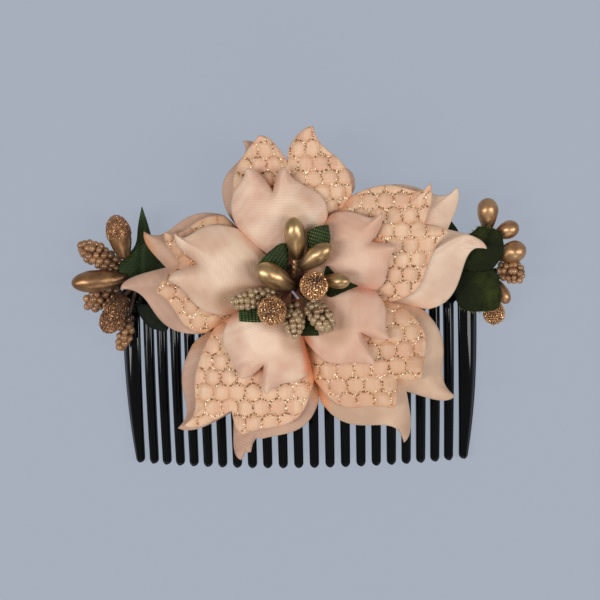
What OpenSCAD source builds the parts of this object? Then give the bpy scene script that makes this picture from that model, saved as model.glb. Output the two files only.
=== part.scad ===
// Floral hair comb: a curved side comb that carries a layered satin flower, a cluster of buds at the
// flower's centre, and a spray of buds and leaves at each end of the spine.
// It lies on its back as it would on a table: arch up, teeth towards -Y, flower on top.

/* [Comb] */
// Radius of the comb's outer face across its width
arch_radius = 94.6; // [85:0.1:105]
// Number of teeth
tooth_count = 23; // [23]
// Distance from tooth to tooth along the arch
tooth_pitch = 4.3; // [4.2:0.05:4.5]
// Length of a tooth from the spine to its tip
tooth_length = 43; // [36:0.5:46]
// Width of a tooth where it leaves the spine
tooth_root_width = 3.05; // [2.6:0.05:3.2]
// Width of a tooth near its tip
tooth_tip_width = 2.6; // [2:0.05:2.8]
// Thickness of the spine and of a tooth's root
comb_thickness = 2.5; // [2:0.1:3]
// Thickness of a tooth near its tip
tip_thickness = 2.3; // [1.8:0.1:2.5]
// How far the tips curve in towards the head
tip_droop = 1.2; // [0.8:0.05:2.5]
// Height of the spine above the teeth
spine_height = 5.5; // [4:0.5:8]

/* [Flower] */
// Thickness of the padded satin
petal_wall = 1.1; // [1:0.1:1.5]
// Top of the back, middle and front petals where they join, above the comb's crown
layer_height = [3.5, 6.4, 9.6]; // [3:0.1:12]
// How far each layer is puffed up in its middle
layer_puff = [2.2, 2.4, 3.2]; // [1:0.1:4]
// How far the pointed tips of each layer curl up
layer_curl = [3.5, 3, 2.5]; // [0:0.5:4]
// Radius that the flower bends over, as it follows the comb's arch
bend_radius = 180; // [150:5:300]
// Rise of a petal from its root to its reach
petal_cup = 1; // [0:0.5:2]
// Depth of the dip behind the notch between a petal's two lobes
notch_dip = 0.6; // [0:0.1:0.8]

/* [Buds and leaves] */
// Thickness of the leaf ribbon
leaf_wall = 1; // [1:0.1:1.2]
// Diameter of the stem wires
stem_width = 1; // [0.8:0.1:1.2]
// Diameter of a bundle of stems
bundle_width = 2.2; // [2:0.1:2.4]
// Radius of the felt disc under the flower
pad_radius = 9; // [8:0.5:10]

/* [Hidden] */
// Middle of the flower in the comb's frame: crown of the comb at the teeth's roots
flower_middle = [-0.5, 8.7];
// Middle of the felt disc along Y, over the spine, its top above the crown, and how far it reaches
// down over the arch
pad_y = 5;
pad_top = 1.9;
pad_depth = 2;
// Clearance that keeps neighbouring pieces apart
gap = 0.15;
// Number of sides of the long arcs, of discs and round tips, of buds, and of stems
arc_sides = 180;
disc_sides = 64;
bud_sides = 48;
stem_sides = 12;
// Middle of the whole piece, from the outermost buds, the top petal's tip and the teeth's tips
piece_middle = [0.64, 2.28];

// Columns of the flower table
F_NAME = 0;
F_DIRECTION = 1;
F_SEAM_PLUS = 2;
F_SEAM_MINUS = 3;
// One row for each petal: its direction in degrees about the flower's middle, and the directions of
// the seams where it meets its neighbours
FLOWER = [
    ["top", 92, 136.5, 52.5],
    ["right", 15, 52.5, -15.5],
    ["lower_right", -50, -15.5, -78.5],
    ["lower_left", -113, -78.5, -148],
    ["left", 172, 212, 136.5]
];
LAYERS = ["back", "mid", "front"];

// Columns of the petal table
P_PETAL = 0;
P_LAYER = 1;
P_WIDE_PLUS = 2;
P_TIP_PLUS = 3;
P_NOTCH = 4;
P_TIP_MINUS = 5;
P_WIDE_MINUS = 6;
// One row for each layer of each petal, by its row in the flower table. The points are along and across
// the petal's own axis: the widest place on the plus side, the tip there with the angle that it leans at
// and its part of the layer's curl, the notch, and the same for the minus side.
PETALS = [
    [0, 0, [23, 17], [36, 10.5, 30, 0.8], [29.5, 0], [33.5, -8.5, 0, 0], [24, -17.8]],
    [0, 1, [20, 14], [37, 6, -22, 1], [29.7, -1], [38.6, -8, 5, 1], [22, -17]],
    [0, 2, [18.5, 14.2], [28.7, 9.6, -10, 1], [22.6, 3.2], [28.6, -0.5, 15, 1], [16.5, -10.4]],
    [1, 0, [29, 16], [48, 10.5, 35, 1], [42.6, 0.5], [51, -7.1, -20, 1], [31, -17.7]],
    [1, 1, [27, 16.5], [41.4, 13.5, 45, 1], [37, 3.5], [42.3, -0.2, 20, 1], [25, -13.5]],
    [1, 2, [15.5, 13.4], [27.4, 9.8, 35, 1], [22.6, 3.1], [27.4, 1.2, 40, 1], [20, -9]],
    [2, 0, [32, 20.3], [51.8, 11.7, 15, 1], [42.6, 2.8], [52, -6.2, -5, 1], [32.5, -16]],
    [2, 1, [30, 17.2], [41.8, 8.8, -45, 1], [38, 3.3], [43, -2.3, 35, 1], [29.5, -13.2]],
    [2, 2, [19.5, 14.8], [28.3, 9.2, -10, 1], [22.7, 4.4], [31, 1.6, 30, 1], [19, -7.8]],
    [3, 0, [30, 18.8], [49.4, 5.5, -12, 1], [38.6, -1], [48.3, -13, -28, 1], [31, -18]],
    [3, 1, [29.4, 16], [42.5, 3.5, -50, 1], [38.3, -1.5], [46.5, -11.5, -28, 1], [28.5, -14.4]],
    [3, 2, [19.5, 13.5], [30, 5.7, -8, 1], [23.6, 2], [28.8, -2.4, 35, 1], [18.5, -10.9]],
    [4, 0, [26, 18.4], [44.8, 8.8, 0, 1], [33.5, 1.8], [40.1, -7, -25, 1], [22.5, -14]],
    [4, 1, [21.5, 17.4], [34.5, 8.4, -20, 1], [29.3, 0.1], [34.2, -7.8, -15, 1], [19, -13.8]],
    [4, 2, [17.5, 11.7], [33, 5.9, 15, 1], [24.5, -0.6], [31.1, -7.9, -45, 1], [19.5, -11.3]]
];
function petal_name(row) = str("petal_", FLOWER[row[P_PETAL]][F_NAME], "_", LAYERS[row[P_LAYER]]);
// A petal's root: its distance from the flower's middle and half its width
root_start = 3.6;
root_half = 1.8;
// Shape factors of a petal's outline: how full the sides are, and how long the tips' points are
side_start = 0.35;
side_spread = 42;
side_fullness = 0.42;
shoulder_fullness = 0.6;
point_length = 0.42;
inner_fullness = 0.45;
// Number of outline steps on a side, a shoulder and an inner edge of a petal
side_steps = 4;
shoulder_steps = 6;
inner_steps = 3;
// Rings of a petal's grid, as parts of the way from its middle to its edge
petal_rings = [0.35, 0.6, 0.8, 0.92, 1];
// A petal's middle: how far along the way to its notch it lies, and how much of its place across comes
// from the sides and from the notch
centre_along = 0.62;
centre_from_sides = 0.6;
centre_from_notch = 0.4;
// How far a tip's curl reaches back
curl_reach = 3.6;
// Gap on each side of the seam between two petals
seam_gap = 0.1;
// Half the width of the dip behind the notch
dip_half = 3;
// Reach at which a petal has risen by petal_cup
cup_reach = 45;

// Columns of the bud table
B_NAME = 0;
B_KIND = 1;
B_NECK = 2;
B_TIP = 3;
B_WIDTH = 4;
// Kinds of bud: where the widest place is along it, and the neck's part of the width
GOLD = [0.6, 0.45];
GLITTER = [0.6, 0.35];
GLITTER_BLUNT = [0.65, 0.6];
BEADED = [0.5, 0.55];
BEADED_BLUNT = [0.6, 0.62];
// One row for each bud: the neck's and the tip's places in the comb's frame, and the width
CENTRE_BUDS = [
    ["gold_bud_upper", GOLD, [1.4, 13.9, 13.6], [1.6, 24.4, 17.2], 5.4],
    ["gold_bud_left", GOLD, [0.4, 6.6, 14.5], [-8.5, 12, 17.5], 6],
    ["gold_bud_right", GOLD, [2.8, 11.6, 15], [10.4, 17.2, 18], 4.5],
    ["gold_bud_side", GOLD, [7.8, 8.2, 15], [15, 8, 17.4], 4],
    ["glitter_bud_right", GLITTER, [5.2, 5, 16.5], [6.6, 8.8, 23.2], 7.2],
    ["glitter_bud_left", GLITTER, [-3.8, 1.8, 16], [-5.2, 0.4, 23], 7.4],
    ["beaded_bud_left", BEADED, [-3.8, 5, 14.1], [-15.8, 2.8, 16.9], 5.4],
    ["beaded_bud_lower", BEADED, [0.3, 2.6, 14.5], [1.2, -6, 17.6], 5],
    ["beaded_bud_right", BEADED, [4.2, 2.8, 14.6], [10.4, -4.4, 17.8], 6.2]
];
LEFT_BUDS = [
    ["left_capped_bud", GOLD, [-46.1, 14.1, -6], [-48.2, 25.6, -4], 6.4],
    ["left_beaded_bud_upper", BEADED_BLUNT, [-47.6, 11, -7.2], [-58.3, 17.9, -5.6], 5.4],
    ["left_gold_bud", GOLD, [-46.6, 8.4, -4.6], [-60.3, 7.6, -3.4], 6],
    ["left_beaded_bud_lower", BEADED_BLUNT, [-48.4, 6.4, -8.8], [-58, 0.9, -8.4], 5.8],
    ["left_glitter_bud", GLITTER_BLUNT, [-46.6, 3.2, -4.4], [-51.6, -5.6, -3.8], 5.8],
    ["left_beaded_bud_end", BEADED_BLUNT, [-45.7, -1.2, -8.2], [-48.4, -11.5, -9], 4.8]
];
RIGHT_BUDS = [
    ["right_gold_bud_top", GOLD, [51.5, 20.2, -7], [51.6, 28.2, -5.5], 5.6],
    ["right_gold_bud_upper", GOLD, [53.6, 18.2, -7.5], [59.6, 20.8, -6], 4.8],
    ["right_gold_bud_middle", GOLD, [54.4, 13, -7.5], [61.3, 15.2, -4.5], 5.4],
    ["right_beaded_bud", BEADED_BLUNT, [54.6, 8.7, -8.5], [61.4, 7.4, -6.5], 6.2],
    ["right_gold_bud_lower", GOLD, [54.2, 5.6, -10.2], [56.8, -0.2, -9.2], 3.6],
    ["right_glitter_bud", GLITTER, [53, 1.2, -12], [53.5, -6, -11.4], 6]
];
// Columns of the table of stem bundles
S_NAME = 0;
S_FROM = 1;
S_HUB = 2;
S_BUDS = 3;
// One row for each bundle: where it starts under the flower, where its stems part, and their buds
STEMS = [
    ["centre_stems", [0.5, 7.4, 2.4], [0.5, 7.4, 9], CENTRE_BUDS],
    ["left_stems", [-37, 3, -5.8], [-43, 7, -7.5], LEFT_BUDS],
    ["right_stems", [38, 3, -6.4], [46, 7.5, -9], RIGHT_BUDS]
];

// Columns of the leaf table
L_NAME = 0;
L_FOOT = 1;
L_RISE = 2;
L_FOLD = 3;
L_OUTLINE = 4;
// One row for each leaf: the place it grows from, its rise for each millimetre away from there, how
// far its middle is raised, and its outline, clockwise from above
CENTRE_FOOT = [0.5, 7.4, 11.5];
LEAVES = [
    ["centre_leaf_left", CENTRE_FOOT, 0.2, 0.6,
        [[-9.6, 11.1], [-6.9, 14.6], [-2.8, 17.8], [-0.8, 17.5], [-0.8, 13], [-1.2, 10.4], [-4, 9]]],
    ["centre_ribbon_right", CENTRE_FOOT, 0.2, 0.4,
        [[4.5, 20.7], [7, 22], [9.7, 22.3], [10.4, 18], [7, 12.8], [4.2, 13.4]]],
    ["centre_ribbon_left", CENTRE_FOOT, 0.2, 0.3,
        [[-13.4, -1.9], [-13.5, 0.9], [-8.7, 1.8], [-5, 1.6], [-5, -2], [-8.8, -2.3]]],
    ["centre_leaf_lower", CENTRE_FOOT, 0.2, 0.3,
        [[2.2, -5.9], [3.2, -2], [4.3, 0.6], [5.6, -2], [6.8, -5.9]]],
    ["centre_leaf_right", CENTRE_FOOT, 0.18, 0.4,
        [[9.5, 12], [13, 9.5], [17, 6.5], [13, 4.6], [9.4, 3.4], [8, 6.5]]],
    ["left_leaf_upper", [-43, 7, -9.5], 0.05, 1,
        [[-46.1, 9.1], [-45.8, 14.1], [-43.2, 17.6], [-42.7, 22.8], [-41.5, 27.8], [-40.2, 23.5],
         [-39.2, 19.5], [-37.5, 12], [-39, 8], [-43, 8]]],
    ["left_leaf_lower", [-34, -1, -4.4], -0.25, 0.8,
        [[-43.3, 1.5], [-38.5, 1.4], [-35.5, 0.8], [-34.4, -4], [-35.2, -6], [-37.4, -5.7],
         [-39.6, -4.9], [-41.4, -3.4], [-42.8, -1]]],
    ["right_leaf_upper", [46, 7.5, -4.5], 0.1, 1,
        [[46.4, 9], [45, 12], [45.4, 15], [46.6, 17.4], [47.7, 19.7], [49, 20.8], [51.4, 21.1], [53.3, 20.8],
         [55.5, 19], [55.5, 15.6], [54.4, 12.6], [52.6, 9.6], [49.8, 8.6]]],
    ["right_leaf_lower", [46, 7.5, -5.7], 0, 1,
        [[46.8, 10], [50, 10.2], [52.6, 10], [53.3, 8.4], [53.9, 5.8], [54.6, 2.8], [54.5, -0.6], [52.1, -2.1],
         [49.4, -2.8], [46.5, -2], [43.7, -0.4], [42.6, 3.3], [43.8, 7.1]]],
    ["right_leaf_back", [46, 7.5, -7.5], 0.1, 0.4,
        [[40.5, 14], [40, 18], [41.6, 22.5], [43.8, 19.6], [44.4, 15]]]
];
leaf_rings = [0.4, 0.75, 1];

// The end teeth stand this much further out than the pitch puts them, and the slots beside them are
// this much wider
end_tooth_shift = 0.5;
// Half width of an end tooth on its outer side, at the spine and at the tip
end_root_half = 4.5;
end_tip_half = 1.35;
// Angles along the arch: from tooth to tooth, and from the crown to the middle of an end tooth, to its
// outer edge and to the outer edge of its tip
function arc_angle(length) = length / arch_radius * 180 / PI;
pitch_angle = arc_angle(tooth_pitch);
end_angle = (tooth_count - 1) / 2 * pitch_angle + arc_angle(end_tooth_shift);
arch_half_angle = end_angle + arc_angle(end_root_half);
tip_angle = end_angle + arc_angle(end_tip_half);
// Height of the crown above the surface that the comb lies on: it stands on the ends of the spine or
// on the tips of the end teeth, whichever are lower
rest_height = arch_radius - min(
    (arch_radius - comb_thickness) * cos(arch_half_angle),
    (arch_radius - tip_droop - tip_thickness) * cos(tip_angle)
);

module placed() {
    translate([-piece_middle[0], -piece_middle[1], rest_height]) children();
}

// Turns what is drawn about Z so that the same axis lies along Y under the comb's crown
module on_arch() {
    translate([0, 0, -arch_radius]) rotate([-90, 0, 0]) children();
}

// Side profile of the spine and the teeth: radius against depth below the spine
profile_steps = 10;
// Length and depth of the rounding of the tips, seen from the side
end_round = 2;
end_chamfer = 0.7;
function droop(part, amount) = amount * part * part;
function comb_profile() = concat(
    [[arch_radius, spine_height]],
    [for (i = [0 : profile_steps])
        let (part = i / profile_steps, y = -part * (tooth_length - end_round))
        [arch_radius - droop(part, tip_droop), y]],
    [[arch_radius - tip_droop - end_chamfer, -tooth_length],
     [arch_radius - tip_droop - tip_thickness + end_chamfer, -tooth_length]],
    [for (i = [profile_steps : -1 : 0])
        let (part = i / profile_steps, y = -part * (tooth_length - end_round))
        [arch_radius - comb_thickness - droop(part, tip_droop + tip_thickness - comb_thickness), y]],
    [[arch_radius - comb_thickness, spine_height]]
);

module arch_band(half_angle) {
    on_arch() rotate([0, 0, -90 - half_angle])
        rotate_extrude(angle = 2 * half_angle, $fn = arc_sides) children();
}

// A prism through the arch at an angle from its crown, drawn as width against depth
prism_inside = 3;
prism_outside = 2;
module on_tooth(angle) {
    translate([0, 0, -arch_radius]) rotate([0, angle, 0])
        translate([0, 0, arch_radius - prism_inside * comb_thickness])
        linear_extrude(height = (prism_inside + prism_outside) * comb_thickness) children();
}

// Rounding of the tips and of the slots' roots, in steps of this angle
round_step = 15;
tip_round_end = 75;
// How far a cut runs past the comb's edges
cut_margin = 1;
// A slot between two teeth: round at its root, wider towards the tips, whose corners it rounds
module slot_outline(extra_width) {
    root_half = (tooth_pitch - tooth_root_width + extra_width) / 2;
    tip_half = (tooth_pitch - tooth_tip_width + extra_width) / 2;
    tip_radius = tooth_tip_width / 2;
    tip_reach = tip_half + tip_radius * (1 - cos(tip_round_end));
    side = concat(
        [for (a = [90 : -round_step : 0]) root_half * [cos(a), sin(a)]],
        [for (a = [0 : round_step : tip_round_end])
            [tip_half + tip_radius * (1 - cos(a)), tip_radius - tooth_length - tip_radius * sin(a)]],
        [[tip_reach, -tooth_length - cut_margin]]
    );
    polygon(concat(side, [for (i = [len(side) - 1 : -1 : 1]) [-side[i][0], side[i][1]]]));
}

// What is cut off past an end tooth: the spine's rounded corner and the tooth's bowed outer side
corner_radius = 2.5;
edge_steps = 8;
edge_curve = 2.7;
end_cut_width = 12;
module end_cut_outline() {
    depth = tooth_length - end_tip_half;
    low = -tooth_length - cut_margin;
    high = spine_height + cut_margin;
    corner_x = end_root_half - corner_radius;
    polygon(concat(
        [[corner_x, high]],
        [for (a = [90 : -round_step : 0])
            [corner_x + corner_radius * cos(a), spine_height - corner_radius + corner_radius * sin(a)]],
        [for (i = [0 : edge_steps])
            let (part = i / edge_steps)
            [end_tip_half + (end_root_half - end_tip_half) * (1 - pow(part, edge_curve)), -part * depth]],
        [for (a = [round_step : round_step : tip_round_end])
            [end_tip_half * cos(a), -depth - end_tip_half * sin(a)]],
        [[end_tip_half * cos(tip_round_end), low], [end_cut_width, low], [end_cut_width, high]]
    ));
}

// The band that the comb is cut from ends this many degrees past it
band_margin = 2;
module comb() {
    // Places of the slots, counted in teeth from the comb's middle
    last_slot = tooth_count / 2 - 1;
    color("black") placed() difference() {
        arch_band(arch_half_angle + band_margin) polygon(comb_profile());
        for (i = [1 - last_slot : last_slot - 1]) on_tooth(i * pitch_angle) slot_outline(0);
        for (side = [-1, 1]) on_tooth(side * (last_slot * pitch_angle + arc_angle(end_tooth_shift / 2)))
            slot_outline(end_tooth_shift);
        on_tooth(end_angle) end_cut_outline();
        on_tooth(-end_angle) mirror([1, 0]) end_cut_outline();
    }
}

module base_pad() {
    color("saddlebrown") placed() difference() {
        translate([flower_middle[0], pad_y, -pad_depth])
            cylinder(h = pad_top + pad_depth, r = pad_radius, $fn = disc_sides);
        on_arch() cylinder(h = 4 * pad_radius, r = arch_radius + gap, center = true, $fn = arc_sides);
    }
}

// Cubic curve through its first and last points, without the last point
function cubic(a, b, c, d, t) =
    a * pow(1 - t, 3) + 3 * b * t * pow(1 - t, 2) + 3 * c * t * t * (1 - t) + d * pow(t, 3);
function curve(a, b, c, d, steps) = [for (i = [0 : steps - 1]) cubic(a, b, c, d, i / steps)];
function flat(p) = [p[0], p[1]];

// The side of a lobe, from the petal's widest place to the tip
function shoulder(wide, tip) = let (
        point = point_length * norm(flat(tip) - wide),
        before_tip = flat(tip) - point * [cos(tip[2]), sin(tip[2])],
        after_wide = wide + [shoulder_fullness * (tip[0] - wide[0]), 0]
    ) [wide, after_wide, before_tip, flat(tip)];
function inner_edge(tip, notch) =
    [flat(tip), [tip[0], tip[1] + inner_fullness * (notch[1] - tip[1])],
     notch + [inner_fullness * (tip[0] - notch[0]), 0], notch];
function side(root, wide) = let (reach = wide[0] - root[0])
    [root, root + side_start * reach * [1, sign(wide[1]) * tan(side_spread)],
     wide - [side_fullness * reach, 0], wide];
function along(c, steps) = curve(c[0], c[1], c[2], c[3], steps);
function back_along(c, steps) = curve(c[3], c[2], c[1], c[0], steps);

// Keeps a petal's outline on its own side of the seams
function within_seams(petal, p) = let (
        plus = p[0] * tan(petal[F_SEAM_PLUS] - petal[F_DIRECTION]) - seam_gap,
        minus = p[0] * tan(petal[F_SEAM_MINUS] - petal[F_DIRECTION]) + seam_gap
    ) [p[0], max(minus, min(plus, p[1]))];

// A petal's outline, clockwise from above, along and across its own axis
function petal_outline(row) = [for (p = free_outline(row)) within_seams(FLOWER[row[P_PETAL]], p)];
function free_outline(row) = concat(
    along(side([root_start, root_half], row[P_WIDE_PLUS]), side_steps),
    along(shoulder(row[P_WIDE_PLUS], row[P_TIP_PLUS]), shoulder_steps),
    along(inner_edge(row[P_TIP_PLUS], row[P_NOTCH]), inner_steps),
    back_along(inner_edge(row[P_TIP_MINUS], row[P_NOTCH]), inner_steps),
    back_along(shoulder(row[P_WIDE_MINUS], row[P_TIP_MINUS]), shoulder_steps),
    back_along(side([root_start, -root_half], row[P_WIDE_MINUS]), side_steps),
    [[root_start, -root_half]]
);
function petal_centre(row) = let (notch = row[P_NOTCH])
    [centre_along * notch[0],
     centre_from_sides * (row[P_WIDE_PLUS][1] + row[P_WIDE_MINUS][1]) / 2 + centre_from_notch * notch[1]];

// Height of a petal at a place p, where s runs from 0 in its middle to 1 at its edge
function bell(distance, reach) = exp(-distance * distance / (2 * reach * reach));
function petal_height(row, p, s) = let (
        layer = row[P_LAYER],
        curl = max([for (tip = [row[P_TIP_PLUS], row[P_TIP_MINUS]])
            tip[3] * bell(norm(p - flat(tip)), curl_reach)]),
        to_notch = max(0, p[0] / row[P_NOTCH][0]),
        direction = FLOWER[row[P_PETAL]][F_DIRECTION],
        x = flower_middle[0] + p[0] * cos(direction) - p[1] * sin(direction),
        dip = notch_dip * bell(p[1] - row[P_NOTCH][1], dip_half) * min(1, to_notch * to_notch) * (1 - s)
    ) layer_height[layer] + petal_cup * pow(p[0] / cup_reach, 2) - x * x / (2 * bend_radius)
      + layer_puff[layer] * (1 - pow(s, 3)) - dip + layer_curl[layer] * curl;

// A thin closed shell over an outline. height is a function of a place and its part of the way out.
module thin_shell(outline, centre, rings, wall, height) {
    n = len(outline);
    m = len(rings);
    top = concat([[centre[0], centre[1], height(centre, 0)]],
        [for (s = rings) for (q = outline) let (p = centre + s * (q - centre)) [p[0], p[1], height(p, s)]]);
    under = [for (p = top) p - [0, 0, wall]];
    half = len(top);
    last = 1 + (m - 1) * n;
    polyhedron(
        points = concat(top, under),
        faces = concat(
            [for (k = [0 : n - 1]) [0, 1 + k, 1 + (k + 1) % n]],
            [for (k = [0 : n - 1]) [half, half + 1 + (k + 1) % n, half + 1 + k]],
            [for (r = [0 : m - 2]) for (k = [0 : n - 1])
                let (a = 1 + r * n + k, b = 1 + r * n + (k + 1) % n, c = b + n, d = a + n)
                each [[a, d, c], [a, c, b],
                      [half + a, half + c, half + d], [half + a, half + b, half + c]]],
            [for (k = [0 : n - 1]) let (a = last + k, b = last + (k + 1) % n)
                each [[a, half + a, half + b], [a, half + b, b]]]
        )
    );
}

PETAL_COLOURS = ["peachpuff", "navajowhite", "mistyrose"];
module petal(row) {
    color(PETAL_COLOURS[row[P_LAYER]]) placed()
        translate([flower_middle[0], flower_middle[1], 0]) rotate([0, 0, FLOWER[row[P_PETAL]][F_DIRECTION]])
        thin_shell(petal_outline(row), petal_centre(row), petal_rings, petal_wall,
            function (p, s) petal_height(row, p, s));
}

// Radius of a bud, as a part of its greatest, against the part of the way from its neck to its tip
bud_steps = 12;
function bud_radius(kind, t) = t < kind[0]
    ? kind[1] + (1 - kind[1]) * sin(90 * t / kind[0])
    : sqrt(max(0, 1 - pow((t - kind[0]) / (1 - kind[0]), 2)));

module along_line(from, to) {
    v = to - from;
    translate(from) rotate([0, acos(v[2] / norm(v)), atan2(v[1], v[0])]) children();
}

BUD_COLOURS = [
    [GOLD, "goldenrod"], [GLITTER, "darkgoldenrod"], [GLITTER_BLUNT, "darkgoldenrod"],
    [BEADED, "darkkhaki"], [BEADED_BLUNT, "darkkhaki"]
];
module bud(row) {
    long = norm(row[B_TIP] - row[B_NECK]);
    kind = row[B_KIND];
    colour = [for (pair = BUD_COLOURS) if (pair[0] == kind) pair[1]][0];
    // Steps are closer together towards the round tip
    color(colour) placed() along_line(row[B_NECK], row[B_TIP]) rotate_extrude($fn = bud_sides)
        polygon(concat([[0, 0]],
            [for (i = [0 : bud_steps]) let (t = sin(90 * i / bud_steps))
                [row[B_WIDTH] / 2 * bud_radius(kind, t), long * t]]));
}

// Width of the knot where a bundle's stems part
hub_width = 2.6;
// The stems of a group: a bundle from the flower to where they part, and a stem to each bud's neck
module stems(row) {
    from = row[S_FROM];
    hub = row[S_HUB];
    color("peru") placed() {
        along_line(from, hub) cylinder(h = norm(hub - from), d = bundle_width, $fn = stem_sides);
        translate(hub) sphere(d = hub_width, $fn = stem_sides);
        for (stem = row[S_BUDS]) let (
                axis = stem[B_TIP] - stem[B_NECK],
                end = stem[B_NECK] - (stem_width / 2 + gap) / norm(axis) * axis
            ) along_line(hub, end) cylinder(h = norm(end - hub), d = stem_width, $fn = stem_sides);
    }
}

function middle_of(points) =
    [for (i = [0, 1]) (min([for (p = points) p[i]]) + max([for (p = points) p[i]])) / 2];
module leaf(row) {
    foot = row[L_FOOT];
    color("darkgreen") placed()
        thin_shell(row[L_OUTLINE], middle_of(row[L_OUTLINE]), leaf_rings, leaf_wall,
            function (p, s) foot[2] + row[L_RISE] * norm(p - flat(foot)) + row[L_FOLD] * (1 - s * s));
}

comb();
base_pad();
for (row = PETALS) petal(row);
for (row = concat(CENTRE_BUDS, LEFT_BUDS, RIGHT_BUDS)) bud(row);
for (row = STEMS) stems(row);
for (row = LEAVES) leaf(row);
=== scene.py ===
# Floral hair comb: detailed pieces, materials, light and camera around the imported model.
import bpy
import random
from itertools import combinations
from math import atan2, copysign, cos, degrees, pi, radians, sin, sqrt, tan
import numpy as np
from mathutils import Matrix, Vector
from mathutils.bvhtree import BVHTree


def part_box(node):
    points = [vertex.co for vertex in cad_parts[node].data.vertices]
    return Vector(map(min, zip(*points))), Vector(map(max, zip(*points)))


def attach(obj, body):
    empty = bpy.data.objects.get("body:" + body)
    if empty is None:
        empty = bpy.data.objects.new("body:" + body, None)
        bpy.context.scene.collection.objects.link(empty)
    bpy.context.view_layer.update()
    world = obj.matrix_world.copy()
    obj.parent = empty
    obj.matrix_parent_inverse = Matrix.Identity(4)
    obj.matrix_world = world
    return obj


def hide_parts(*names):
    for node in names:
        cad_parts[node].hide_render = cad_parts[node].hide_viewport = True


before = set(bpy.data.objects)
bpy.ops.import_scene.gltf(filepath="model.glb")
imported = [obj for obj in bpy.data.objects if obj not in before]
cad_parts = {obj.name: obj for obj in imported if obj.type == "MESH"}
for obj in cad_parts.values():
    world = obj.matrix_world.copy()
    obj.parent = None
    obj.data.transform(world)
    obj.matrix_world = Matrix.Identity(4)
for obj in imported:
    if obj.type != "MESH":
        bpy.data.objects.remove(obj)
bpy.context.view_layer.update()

# Places are millimetres from the crown of the comb's arch at the teeth's roots, with the teeth towards -Y
MM = 0.001
SMALLEST_SHEET = 0.01
FRAME_ORIGIN = np.array([0.64, 2.28, -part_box("comb")[1].z / MM])
ARCH_RADIUS = 94.6
FLOWER_MIDDLE = np.array([-0.5, 8.7])

# Camera, at the photo's place over the comb
EYE = (23.304, 28.985, 399.160)
LOOK = Vector((-0.05475, -0.06655, -0.99628)).normalized()
UP = Vector((0.01722, 0.99757, -0.06758)).normalized()
FOCAL_PIXELS = 1512.84
FRAME_PIXELS = 600
SENSOR = 36

# Petals: the direction of each and of the seams beside it, in degrees about the flower's middle
FLOWER = {
    "top": (92, 136.5, 52.5),
    "right": (15, 52.5, -15.5),
    "lower_right": (-50, -15.5, -78.5),
    "lower_left": (-113, -78.5, -148),
    "left": (172, 212, 136.5),
}
LAYERS = ("back", "mid", "front")
# Along and across each petal's axis: widest place, tip with its lean and curl, notch, tip, widest place.
# A tip's fifth number is how far its inner edge spreads at the notch.
PETALS = {
    "top": (
        ((23, 17), (36, 10.5, 30, 0.8), (29.5, 0), (33.5, -8.5, 0, 0), (24, -17.8)),
        ((20, 14), (37, 6, -42, 1), (29.7, -1), (38.6, -8, 5, 1, -0.15), (22, -17)),
        ((18.5, 14.2), (28.7, 9.6, -10, 1), (22.6, 3.2), (28.6, -0.5, 15, 1), (16.5, -10.4))),
    "right": (
        ((29, 16), (48, 10.5, 35, 1), (42.6, 0.5), (51, -7.1, -33, 1), (33.5, -18.3)),
        ((27, 16.5), (41.4, 13.5, 45, 1), (37, 3.5), (42.3, -0.2, 20, 1), (25, -13.5)),
        ((15.2, 12.9), (27.4, 9.8, 35, 1), (22.6, 3.1), (28.4, -0.2, 25, 1), (20, -9))),
    "lower_right": (
        ((32, 20.3), (51.8, 11.7, 15, 1), (42.6, 2.8), (52, -6.2, -30, 1), (32.5, -16)),
        ((30, 17.2), (41.8, 8.8, -45, 1), (38, 3.3), (43, -2.3, 35, 1), (29.5, -13.2)),
        ((18, 14.1), (28.3, 9.2, -10, 1), (22.7, 4.4), (31, 1.6, 30, 1), (19, -7.8))),
    "lower_left": (
        ((30, 18.8), (49.4, 5.5, 4, 1), (38.6, -1), (48.3, -13, -28, 1), (31, -18)),
        ((29.4, 16), (42.5, 3.5, -50, 1), (38.3, -1.5), (46.5, -11.5, -28, 1), (28.5, -14.4)),
        ((19.5, 13.5), (30, 5.7, -8, 1), (23.6, 2), (28.8, -2.4, 35, 1), (18.5, -10.9))),
    "left": (
        ((26, 18.4), (44.8, 8.8, 12, 1), (33.5, 1.8), (40.1, -7, -25, 1), (22.5, -14)),
        ((21.5, 17.4), (34.5, 8.4, -20, 1), (29.3, 0.1), (34.2, -7.8, -15, 1), (19, -13.8)),
        ((17.5, 11.7), (31.4, 4.4, -15, 1), (24.5, -0.6), (31.1, -7.9, -45, 1), (19.5, -11.3))),
}
LAYER_HEIGHT = (3.5, 6.4, 9.6)
LAYER_PUFF = (2.2, 2.4, 3.2)
LAYER_CURL = (3.5, 3, 2.5)
PETAL_WALL = 0.8
# How dense an outline's points are and how many rings there are inside it, for fine and plain petals
FINE, PLAIN = (7, 34), (4, 22)
RING_CROWDING = 1.25
# The rings' middle: parts of the notch's place along, of both sides and of the notch's place across
MIDDLE_ALONG, MIDDLE_SIDES, MIDDLE_ACROSS = 0.62, 0.3, 0.4
BEND_RADIUS, TIP_RISE = 180, 45
ROOT_START, ROOT_HALF = 3.6, 1.8
SIDE_START, SIDE_SPREAD, SIDE_FULLNESS = 0.35, 52, 0.42
SHOULDER_FULLNESS, POINT_LENGTH, INNER_FULLNESS, NOTCH_SPREAD = 0.6, 0.42, 0.45, 0.3
CURL_REACH = 3.6
NOTCH_DIP, DIP_REACH = 0.4, 3
CREASE, CREASE_REACH = 0.12, 0.9
ROUNDING = 0.12
# Painted orange glow and shade around the petals' roots and, on the back and middle layers, under the notch
# of the petal above
ROOT_GLOW, ROOT_REACH = 0.6, (3.6, 9)
NOTCH_GLOW, NOTCH_REACH = (0.35, 0.85), 1.9
# How strong and how far a bud's painted brown shadow is on the front petals
GOLD_BUD_SHADE, OTHER_BUD_SHADE = (0.3, 2), (0.55, 3.2)
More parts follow.
